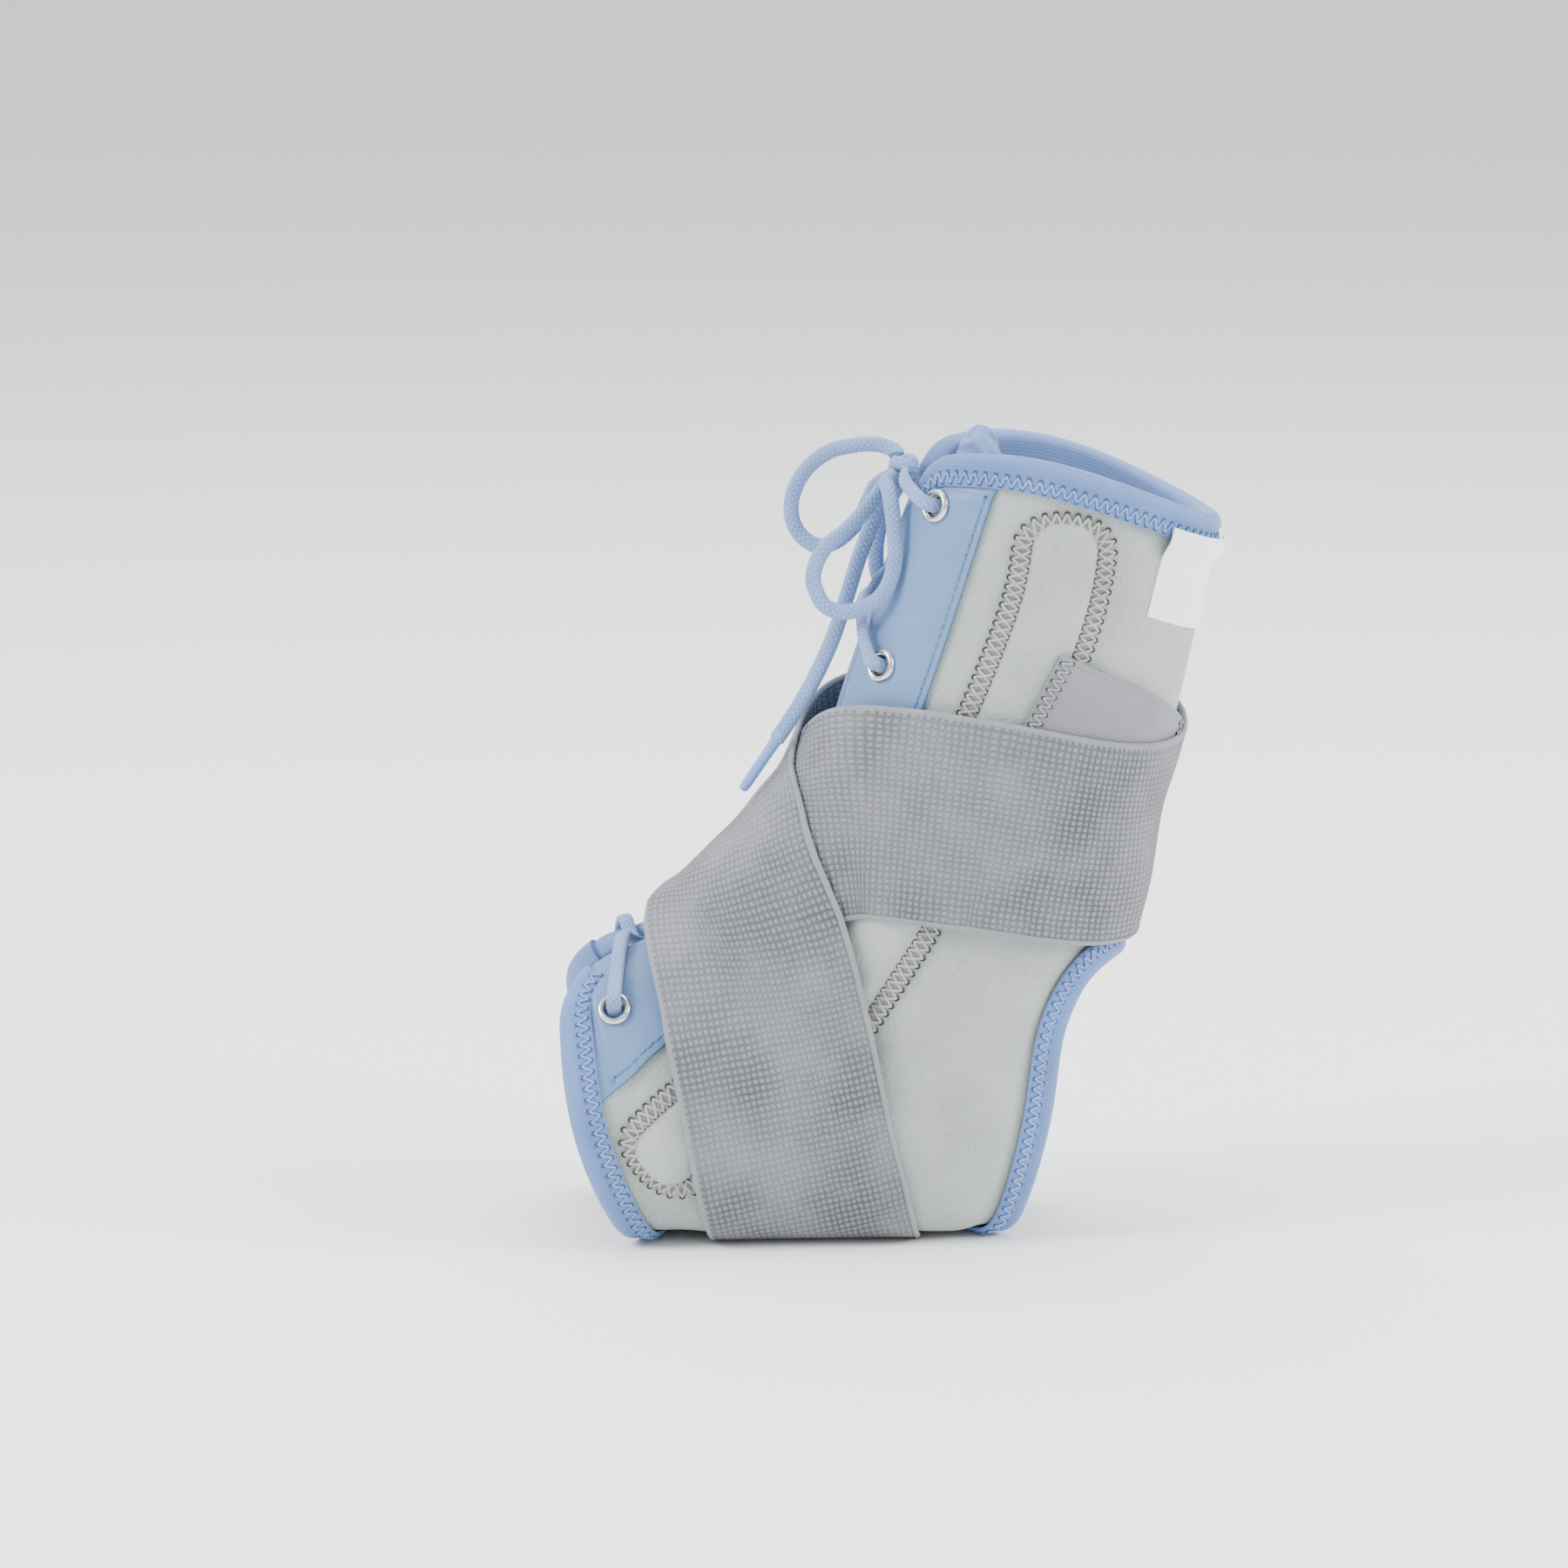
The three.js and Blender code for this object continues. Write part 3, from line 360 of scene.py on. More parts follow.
def folded(turn, station, heading, depth, height):
    """A point of a folded strip: over the cloth by depth, or out past its edge if negative."""
    if depth > 0:
        inside = walk(turn, station, heading, depth)
        return raised(*inside, height)
    return raised(turn, station, height) + unit(heading) * depth


def along_path(path, share):
    """The row of a path's table at a share of its rows."""
    t = np.asarray(share) * (len(path) - 1)
    row = np.clip(np.floor(t), 0, len(path) - 2).astype(int)
    a, b, c, d = (path[np.clip(row + k, 0, len(path) - 1)] for k in (-1, 0, 1, 2))
    return cubic(a, b, c, d, (t - row)[..., None])


def even_shares(path, side, step):
    """Shares of a path that lie evenly along it, and its length."""
    fine = np.linspace(0, 1, 1500)
    rows = along_path(path, fine)
    at = distances(skin(side * np.radians(rows[:, 0]), rows[:, 1]))
    count = round(at[-1] / step)
    return np.interp(np.linspace(0, at[-1], count + 1), at, fine), at[-1]


def strip_places(path, side, shares, half, across):
    """Places of a strip laid along a path: rows along it, columns across it."""
    def middle(share):
        rows = along_path(path, np.clip(share, 0, 1))
        return side * np.radians(rows[:, 0]), rows[:, 1]
    turn, station = middle(shares)
    along = skin(*middle(shares + 0.01)) - skin(*middle(shares - 0.01))
    sideways = unit(np.cross(frame_at(turn, station)[2], along))
    reach = np.broadcast_to(half, shares.shape)[:, None] * across[None, :]
    return walk(turn[:, None], station[:, None], sideways[:, None, :], reach)


# Meshes


def put(name, data):
    """An object with that mesh, light or camera, in the scene."""
    item = bpy.data.objects.new(name, data)
    bpy.context.scene.collection.objects.link(item)
    return item


def edit(item):
    """Edit mode, with the whole mesh picked."""
    bpy.ops.object.select_all(action="DESELECT")
    item.select_set(True)
    bpy.context.view_layer.objects.active = item
    bpy.ops.object.mode_set(mode="EDIT")
    bpy.ops.mesh.select_all(action="SELECT")


def new_piece(name, points, faces, uv, finish_name, node_names, slot_name):
    """A finished piece: its mesh in metres, its map, finish, body and the nodes it stands for."""
    mesh = bpy.data.meshes.new(name)
    mesh.from_pydata(((np.asarray(points) + SHIFT) * MM).tolist(), [], faces)
    layer = mesh.uv_layers.new(name="cloth")
    loops = np.empty(len(mesh.loops), int)
    mesh.loops.foreach_get("vertex_index", loops)
    layer.data.foreach_set("uv", np.asarray(uv, float)[loops].ravel())
    mesh.materials.append(material(finish_name))
    return settle(put(name, mesh), node_names)


def settle(piece, node_names, sharp=50):
    """Faces turned outwards and smooth up to the sharp angle; hung on the root body, and the nodes
    it stands for hidden.
    """
    edit(piece)
    bpy.ops.mesh.normals_make_consistent(inside=False)
    bpy.ops.object.mode_set(mode="OBJECT")
    bpy.ops.object.shade_smooth_by_angle(angle=math.radians(sharp))
    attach(piece, "root")
    if node_names:
        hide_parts(*node_names)
    return piece


def wall(grids):
    """A closed wall over grids of places; corners at one place are one."""
    outer, inner, uv, quads, start = [], [], [], [], 0
    for grid in grids:
        rows, columns = grid["outer"].shape[:2]
        ids = np.arange(rows * columns).reshape(rows, columns) + start
        cells = np.stack([ids[:-1, :-1], ids[1:, :-1], ids[1:, 1:], ids[:-1, 1:]], -1)
        cells = cells[grid["keep"]] if "keep" in grid else cells.reshape(-1, 4)
        quads.append(cells[:, ::-1] if grid.get("flip") else cells)
        for into, key in ((outer, "outer"), (inner, "inner"), (uv, "uv")):
            into.append(grid[key].reshape(rows * columns, -1))
        start += rows * columns
    outer, inner, uv = (np.concatenate(part) for part in (outer, inner, uv))
    _, first, same = np.unique(
        np.round(outer, 3) + 0.0, axis=0, return_index=True, return_inverse=True)
    same = same.ravel()
    count = len(first)
    faces, edges = [], set()
    for corners in same[np.concatenate(quads)].tolist():
        ring = [c for i, c in enumerate(corners) if c != corners[i - 1]]
        if len(set(ring)) < 3:
            continue
        faces.append(ring)
        faces.append([c + count for c in reversed(ring)])
        edges.update(zip(ring, ring[1:] + ring[:1]))
    for a, b in edges:
        if (b, a) not in edges:
            faces.append([b, a, a + count, b + count])
    points = np.concatenate([outer[first], inner[first]])
    return points, faces, np.concatenate([uv[first]] * 2)


def loft(rings, closed, uv):
    """Rings of matching points joined into a closed solid."""
    count, sides = rings.shape[:2]
    ids = np.arange(count * sides).reshape(count, sides)
    last = ids if closed else ids[:-1]
    ahead = np.roll(ids, -1, 0) if closed else ids[1:]
    faces = np.stack(
        [last, np.roll(last, -1, 1), np.roll(ahead, -1, 1), ahead], -1).reshape(-1, 4).tolist()
    if not closed:
        faces += [ids[0][::-1].tolist(), ids[-1].tolist()]
    return rings.reshape(-1, 3), faces, uv.reshape(-1, 2)


def tube(points, widths, width, thickness, sides=14, closed=False, power=0.8):
    """A lace: a rounded flat section carried along a line, with its map in millimetres."""
    tangent = tangents(points, closed)
    across = unit(widths - dot(widths, tangent)[:, None] * tangent)
    up = np.cross(tangent, across)
    angle = np.arange(sides) * 2 * np.pi / sides
    a = np.sign(np.cos(angle)) * np.abs(np.cos(angle)) ** power / 2
    b = np.sign(np.sin(angle)) * np.abs(np.sin(angle)) ** power / 2
    size = np.broadcast_to(width, (len(points),))[:, None, None]
    depth = np.broadcast_to(thickness, (len(points),))[:, None, None]
    rings = points[:, None] + across[:, None] * a[:, None] * size + up[:, None] * b[:, None] * depth
    uv = paired(distances(points)[:, None], np.arange(sides)[None] / sides)
    return loft(rings, closed, uv)


def spline(points, step, closed=False):
    """A smooth line through the points, evenly spaced."""
    points = np.asarray(points, float)
    count = len(points)
    t = np.linspace(0, count if closed else count - 1, 60 * count)
    row = np.clip(np.floor(t), 0, count - (1 if closed else 2)).astype(int)
    if closed:
        a, b, c, d = (points[(row + k) % count] for k in (-1, 0, 1, 2))
    else:
        a, b, c, d = (points[np.clip(row + k, 0, count - 1)] for k in (-1, 0, 1, 2))
    line = cubic(a, b, c, d, (t - row)[:, None])
    at = distances(line)
    even = np.linspace(0, at[-1], max(4, round(at[-1] / step)) + 1)
    line = np.stack([np.interp(even, at, line[:, k]) for k in range(3)], -1)
    return line[:-1] if closed else line


def joined(parts):
    """Several meshes as one: points, faces and maps."""
    points, faces, uv, start = [], [], [], 0
    for part_points, part_faces, part_uv in parts:
        points.append(part_points)
        uv.append(part_uv)
        faces += [[i + start for i in face] for face in part_faces]
        start += len(part_points)
    return np.concatenate(points), faces, np.concatenate(uv)


# Stitches


def thread(points, normals, radius, lift):
    """One stitch from hole to hole, arched over the cloth."""
    a, b = points
    middle = (a + b) / 2 + normals.mean(0) * lift
    line = np.stack([a, mix(a, middle, 0.55) + normals[0] * lift * 0.3, middle,
                     mix(b, middle, 0.55) + normals[1] * lift * 0.3, b])
    across = np.cross(unit(b - a), normals.mean(0))[None]
    return tube(line, across, 2 * radius, 2 * radius, sides=6, power=1)


def needle_hole_shade(point, normal, radius):
    """A small dark disc at a stitch's end: painted shade of the needle hole."""
    side = unit(np.cross(normal, (0.3, 0.5, 0.8)))
    other = np.cross(normal, side)
    angle = np.arange(6) * np.pi / 3
    ring = point + radius * (np.cos(angle)[:, None] * side + np.sin(angle)[:, None] * other)
    points = np.concatenate([ring, [point + normal * 0.12], [point - normal * 0.2]])
    faces = [[i, (i + 1) % 6, 6] for i in range(6)] + [[(i + 1) % 6, i, 7] for i in range(6)]
    return points, faces, np.zeros((8, 2))


def zigzag(turn, station, heading, height, width, radius, phase=1, closed=False, lift=0.35):
    """Threads of a zigzag seam along evenly spaced places, and painted shade discs at its needle
    holes.
    """
    normal = frame_at(turn, station)[2]
    swing = np.where(np.arange(len(turn)) % 2 == 0, phase, -phase)[:, None] * width / 2
    points = raised(turn, station, height) + unit(heading) * swing
    pairs = list(zip(range(len(turn) - 1), range(1, len(turn))))
    if closed:
        pairs.append((len(turn) - 1, 0))
    threads = [thread(points[[i, j]], normal[[i, j]], radius, lift) for i, j in pairs]
    holes = [needle_hole_shade(p, n, radius * 2.5) for p, n in zip(points, normal)]
    return threads, holes


def seam_piece(name, lines, thread_name, hole_shade_name, slot_name):
    """A seam of one or more sewn lines, with the thread's finish and the painted shade of the
    needle holes.
    """
    threads = joined([thread for line in lines for thread in line[0]])
    holes = joined([hole for line in lines for hole in line[1]])
    points, faces, uv = joined([threads, holes])
    piece = new_piece(name, points, faces, uv, thread_name, [], slot_name)
    second_finish(piece, hole_shade_name, np.arange(len(faces)) >= len(threads[1]))


def second_finish(piece, name, chosen):
    """Gives the chosen faces another finish."""
    piece.data.materials.append(material(name))
    piece.data.polygons.foreach_set("material_index", np.asarray(chosen, int))


# Materials


def add(tree, kind, values=None, **settings):
    """One node with its settings; sockets among the values are linked."""
    node = tree.nodes.new("ShaderNode" + kind)
    for name, value in settings.items():
        setattr(node, name, value)
    for key, value in (values or {}).items():
        if isinstance(value, bpy.types.NodeSocket):
            tree.links.new(value, node.inputs[key])
        else:
            node.inputs[key].default_value = value
    return node


def calc(tree, operation, *values):
    return add(tree, "Math", dict(enumerate(values)), operation=operation).outputs[0]


def ridges(tree, value, pitch, power):
    """Rounded ridges, one each pitch, from 0 in the grooves to 1."""
    wave = calc(tree, "SINE", calc(tree, "MULTIPLY", value, math.pi / pitch))
    return calc(tree, "POWER", calc(tree, "ABSOLUTE", wave), power)


def lattice(tree, a, pitch_a, power_a, b, pitch_b, power_b):
    """Two sets of ridges that cross."""
    rows, columns = ridges(tree, a, pitch_a, power_a), ridges(tree, b, pitch_b, power_b)
    return calc(tree, "MULTIPLY", rows, columns)


def level(tree, share, low, high):
    """A height between two others."""
    return add(tree, "Mix", {0: share, 2: low, 3: high}, data_type="FLOAT").outputs[0]


def span(tree, value, low, high, start, end):
    """A value spread from one range to another, and held at its ends."""
    return add(tree, "MapRange", {0: value, 1: low, 2: high, 3: start, 4: end}).outputs[0]


def blend(tree, share, low, high):
    """A colour between two others."""
    return add(tree, "Mix", {0: share, 6: (*low, 1), 7: (*high, 1)}, data_type="RGBA").outputs[2]


def noise(tree, per_mm, detail=3.0):
    """Noise over the object, with a grain of that many marks to the millimetre."""
    place = add(tree, "TexCoord").outputs["Object"]
    node = add(tree, "TexNoise", {"Vector": place, "Scale": per_mm / MM, "Detail": detail})
    return node.outputs[0]


def cells(tree, size):
    """Rounded cells over the object, of that size in millimetres."""
    place = add(tree, "TexCoord").outputs["Object"]
    node = add(tree, "TexVoronoi", {"Vector": place, "Scale": 1 / (size * MM)})
    return node.outputs["Distance"]


def finish(name, colour, groove_shade, pattern, relief, roughness, sheen=0.0, mottle=0.06, strength=0.6):
    """A cloth or leather: a height pattern whose grooves are given painted shade, and slow
    mottling.
    """
    made = bpy.data.materials.new(name)
    made.use_nodes = True
    tree = made.node_tree
    tree.nodes.clear()
    out = add(tree, "OutputMaterial")
    height = pattern(tree)
    # Painted shade: the low parts of the pattern take the darker groove colour
    base = blend(tree, height, groove_shade, colour)
    worn = tuple(min(1, c * (1 + mottle)) for c in colour)
    patches = span(tree, noise(tree, 0.05, 2.0), 0.35, 0.65, 0.0, 0.5)
    base = add(tree, "Mix", {0: patches, 6: base, 7: (*worn, 1)}, data_type="RGBA").outputs[2]
    bump = add(tree, "Bump", {"Strength": strength, "Distance": relief * MM, "Height": height})
    shader = add(tree, "BsdfPrincipled", {
        "Base Color": base, "Roughness": roughness, "Sheen Weight": sheen,
        "Sheen Roughness": 0.5, "Specular IOR Level": 0.3, "Normal": bump.outputs[0],
    })
    tree.links.new(shader.outputs[0], out.inputs[0])
    return made


def map_mm(tree):
    node = add(tree, "UVMap", uv_map="cloth")
    parts = add(tree, "SeparateXYZ", {0: node.outputs[0]})
    return parts.outputs[0], parts.outputs[1]


def brushed_knit(tree):
    # Loops of about 0.9 mm, drawn a little coarser than the real 0.6 mm so that they show
    return level(tree, 0.55, cells(tree, 0.9), noise(tree, 1.6, 4.0))


def elastic_weave(tree):
    # Rubber ribs 1.75 mm apart across the strap, covered by yarn columns 1.6 mm apart. Where
    # the strap is stretched the yarn closes up, and the selvedges are knitted tight.
    u, v = map_mm(tree)
    rough = noise(tree, 0.3, 2.0)
    wander_u = calc(tree, "MULTIPLY_ADD", rough, 1.0, u)
    wander_v = calc(tree, "MULTIPLY_ADD", rough, 0.9, v)
    grid = lattice(tree, wander_u, 1.75, 1.1, wander_v, 1.6, 0.8)
    grid = level(tree, 0.22, grid, noise(tree, 1.1, 3.0))
    closed = span(tree, noise(tree, 0.03, 1.0), 0.42, 0.66, 0.0, 0.25)
    grid = level(tree, closed, grid, 0.8)
    selvedge = span(tree, calc(tree, "ABSOLUTE", v), 26.0, 26.3, 0.0, 1.0)
    return level(tree, selvedge, grid, 0.8)


def binding_weave(tree):
    u, v = map_mm(tree)
    return level(tree, 0.4, lattice(tree, u, 0.9, 0.6, v, 0.9, 0.6), noise(tree, 1.5, 3.0))


def braid(tree):
    # Sixteen strands that cross every 1.7 mm along the lace
    u, v = map_mm(tree)
    along = calc(tree, "MULTIPLY", u, 1 / 1.7)
    left = calc(tree, "MULTIPLY_ADD", v, 8.0, along)
    right = calc(tree, "MULTIPLY_ADD", v, -8.0, along)
    return level(tree, 0.3, lattice(tree, left, 1.0, 0.6, right, 1.0, 0.6), noise(tree, 2.0, 3.0))


def leather_grain(tree):
    return level(tree, 0.5, cells(tree, 1.1), noise(tree, 0.8, 4.0))


def satin(tree):
    u, v = map_mm(tree)
    return level(tree, 0.5, lattice(tree, u, 0.7, 0.5, v, 0.5, 0.5), noise(tree, 0.6, 3.0))


def plain_fibres(tree):
    return noise(tree, 1.2, 3.0)


def darker(colour, share):
    return tuple(c * share for c in colour)


def tone(name, description, code):
    return FloatVectorProperty(name=name, description=description, default=linear(code),
                               subtype="COLOR", size=3, min=0, max=1)


def length_of(name, description, millimetres):
    return FloatProperty(name=name, description=description, default=millimetres * MM,
                         unit="LENGTH", subtype="DISTANCE", precision=4)


class BraceColours(PropertyGroup):
    """Colours of the brace's cloths and trims."""

    sleeve: tone("Sleeve", "Grey-green off-white of the padded sleeve", "#ABB2AF")
    binding: tone("Binding", "Blue of the bound edges", "#6886BD")
    panel: tone("Eyelet panel", "Light blue of the panels under the eyelets", "#6A87B1")
    strap: tone("Straps", "Grey of the elastic straps", "#898C92")
    tab: tone("Strap ends", "Grey of the hook tabs on the straps", "#8A8C92")
    lace: tone("Lace", "Light blue of the braided lace", "#86A3D3")
    tongue: tone("Tongue", "Cream of the tongue", "#E4E2DC")
    label: tone("Label", "White of the bare label", "#FBFBF8")
    thread: tone("Thread", "Thread of the zigzag seams on the sleeve", "#ABABA4")
    floor: tone("Floor", "Pale floor", "#FAFAF9")


class BraceSizes(PropertyGroup):
    """Sizes of the soft pieces, in metres."""

    lace_width: length_of("Lace width", "Width of the braided lace", 4.3)
    lace_thickness: length_of("Lace thickness", "Thickness of the braided lace", 2.9)
    strap_wall: length_of("Strap thickness", "Thickness of the elastic straps", 1.5)
    pocket_crown: length_of("Stay height", "How far a stay lifts its pocket", 2.4)
    stitch: length_of("Stitch length", "Half a zigzag along the seams of the stay pockets", 2.6)
    eyelet_sides: IntProperty(
        name="Eyelet sides", description="Steps round each eyelet", default=40, min=12, max=96)


def colours():
    return bpy.context.scene.brace_colours


def sizes():
    return bpy.context.scene.brace_sizes


def material(name):
    """The finish of that name, made once."""
    if name in bpy.data.materials:
        return bpy.data.materials[name]
    hue = colours()
    # Colour, painted shade in the grooves (a colour, or a share of the first), pattern, depth of
    # the relief in mm, roughness; then sheen, mottling and strength of the relief where they differ
    recipes = {
        # Brushed nylon knit over foam: soft, matt, a little fluff in the light
        "brushed nylon knit": (hue.sleeve, 0.62, brushed_knit, 0.5, 0.92, 0.25),
        # Woven polyester binding: fine even weave, slight sheen
        "woven polyester binding": (hue.binding, 0.6, binding_weave, 0.25, 0.75, 0.2),
        # Coated synthetic leather: smooth, soft highlights, faint grain and slow waves
        "coated synthetic leather": (hue.panel, 0.86, leather_grain, 0.06, 0.4, 0.0, 0.05),
        # The panel's rear edge: painted shadow, a darker teal along the cut edge
        "cut leather edge": ("#3F7596", "#33637F", plain_fibres, 0.1, 0.8),
        # Knitted elastic webbing: ribs across with yarn columns, matt
        "knitted elastic webbing": (hue.strap, 0.2, elastic_weave, 0.8, 0.88, 0.15, 0.05, 0.9),
        # Hook tab: tighter weave
        "tight woven tab": (hue.tab, 0.6, binding_weave, 0.3, 0.85, 0.1),
        # Braided polyester lace: crossing strands, slight sheen
        "braided polyester lace": (hue.lace, 0.5, braid, 0.5, 0.7, 0.2),
        # Soft tricot tongue
        "cream tricot": (hue.tongue, 0.75, brushed_knit, 0.3, 0.9, 0.2),
        # Satin woven label: smooth with a faint weave
        "satin label tape": (hue.label, 0.85, satin, 0.15, 0.5, 0.1),
        # Spun polyester threads: soft highlights along each stitch
        "grey sewing thread": (hue.thread, 0.7, plain_fibres, 0.1, 0.6),
        "blue sewing thread": ("#86A4D6", darker(hue.binding, 0.7), plain_fibres, 0.1, 0.6),
        "panel sewing thread": ("#4E78A8", "#3E648F", plain_fibres, 0.1, 0.6),
        "strap sewing thread": ("#A9A9AC", "#85858A", plain_fibres, 0.1, 0.7),
        # Painted shade: dark discs where the needle holes are
        "needle holes in grey": ("#3B403D", "#2C302E", plain_fibres, 0.1, 0.95),
        "needle holes in blue": ("#33558C", "#284773", plain_fibres, 0.1, 0.95),
        # Heat-sealed lace tip: the braid melted smooth under a clear film
        "sealed polyester tip": ("#7FA0D8", "#6B8CC6", plain_fibres, 0.05, 0.3),
    }
    colour, groove_shade, *rest = recipes[name]
    colour = linear(colour) if isinstance(colour, str) else tuple(colour)
    # The painted groove shade, given as a share of the colour or as a colour of its own
    if isinstance(groove_shade, float):
        groove_shade = darker(colour, groove_shade)
    elif isinstance(groove_shade, str):
        groove_shade = linear(groove_shade)
    return finish(name, colour, groove_shade, *rest)


def nickel():
    """Nickel-plated brass: bright, slightly warm, with faint rubbing marks."""
    name = "nickel plated brass"
    if name in bpy.data.materials:
        return bpy.data.materials[name]
    made = bpy.data.materials.new(name)
    made.use_nodes = True
    tree = made.node_tree
    shader = tree.nodes["Principled BSDF"]
    shader.inputs["Metallic"].default_value = 1
    grain = noise(tree, 0.4, 2.0)
    shine = blend(tree, grain, linear("#C9C7C2"), linear("#EDEBE6"))
    tree.links.new(shine, shader.inputs["Base Color"])
    tree.links.new(span(tree, grain, 0.3, 0.7, 0.14, 0.3), shader.inputs["Roughness"])
    return made


# The pieces


def clear_of_eyelets(outer, radius):
    """Which cells of a grid stay, with holes round the eyelets' barrels."""
    centre = (outer[:-1, :-1] + outer[1:, 1:]) / 2
    keep = np.ones(centre.shape[:2], bool)
    for side in SIDES.values():
        for station in EYELET_PAIRS:
            turn, at = eyelet_place(side, station)
            away = centre - skin(turn, at)
            normal = frame_at(turn, at)[2]
            depth = dot(away, normal)
            radial = np.linalg.norm(away - depth[..., None] * normal, axis=-1)
            keep &= (radial > radius) | (np.abs(depth) > 8)
    return keep


class BRACE_OT_sleeve(Operator):
    """Padded sleeve, open at the toes, the heel and down the front"""

    bl_idname = "brace.sleeve"
    bl_label = "Sleeve"

    def execute(self, context):
        arc = np.linspace(0, np.pi / 2, 9)
        corner = CORNER * (1 - np.sin(arc[::-1]))
        heel = mix(HEEL_TOP, HEEL_BOTTOM, np.sin(np.linspace(0, np.pi / 2, 54)) ** 2)
        rows = np.concatenate([
            corner * TOP_STEP, np.linspace(CORNER * TOP_STEP, HEEL_TOP, 96)[1:-1], heel,
            np.linspace(HEEL_BOTTOM, TOE - CORNER * TOE_STEP, 60)[1:-1],
            TOE - corner[::-1] * TOE_STEP,
        ])
        part = np.linspace(0, 1, 61)
        shares, _ = even_shares(POCKET_PATH, 1, 4)
        heel_rows = np.linspace(HEEL_TOP + 0.02, HEEL_BOTTOM - 0.02, 60)
        heel_points = np.concatenate([skin(sign * heel_edge(heel_rows), heel_rows)
                                      for sign in SIDES.values()])
        grids = []
        for side in SIDES.values():
            edge, end = flap_edge(rows)[:, None], heel_edge(rows)[:, None]
            turn = side * mix(edge, end, part[None])
            station = np.broadcast_to(rows[:, None], turn.shape)
            pocket = along_path(POCKET_PATH, shares)
            line = skin(side * np.radians(pocket[:, 0]), pocket[:, 1])
            place = skin(turn, station)
            away = np.linalg.norm(place[:, :, None] - line[None, None], axis=-1).min(-1)
            # The foam swells a little between seams, and puckers beside the stay's seam
            behind = (np.abs(turn) - edge) * half_width(station)
            panel = PANEL_WIDTH + panel_growth(station)
            heel_gap = np.linalg.norm(place[:, :, None] - heel_points[None, None], axis=-1).min(-1)
            open_cloth = smooth(from_end(station), 7, 14) * smooth(behind, panel + 1, panel + 8)
            open_cloth = open_cloth * smooth(heel_gap, 6.5, 14)
            swell = 1.2 * smooth(away, POCKET_WIDTH / 2 - 0.5, POCKET_WIDTH / 2 + 9) * open_cloth
            beside = np.exp(-((away - POCKET_WIDTH / 2 - 3.5) / 3) ** 2) * open_cloth
            pucker = 0.22 * beside * np.sin(station * 48)
            outer = raised(turn, station, swell + pucker - 0.1)
            inner = raised(turn, station, 0.1 - SLEEVE_WALL)
            uv = paired(turn * 40, station * 20)
            grids.append({
                "outer": outer, "inner": inner, "uv": uv, "flip": side < 0,
                "keep": clear_of_eyelets(outer, SLEEVE_HOLE),
            })
        piece = new_piece("sleeve", *wall(grids), "brushed nylon knit", ["sleeve_body"],
                          "sleeve_fabric")
        return {"FINISHED"}


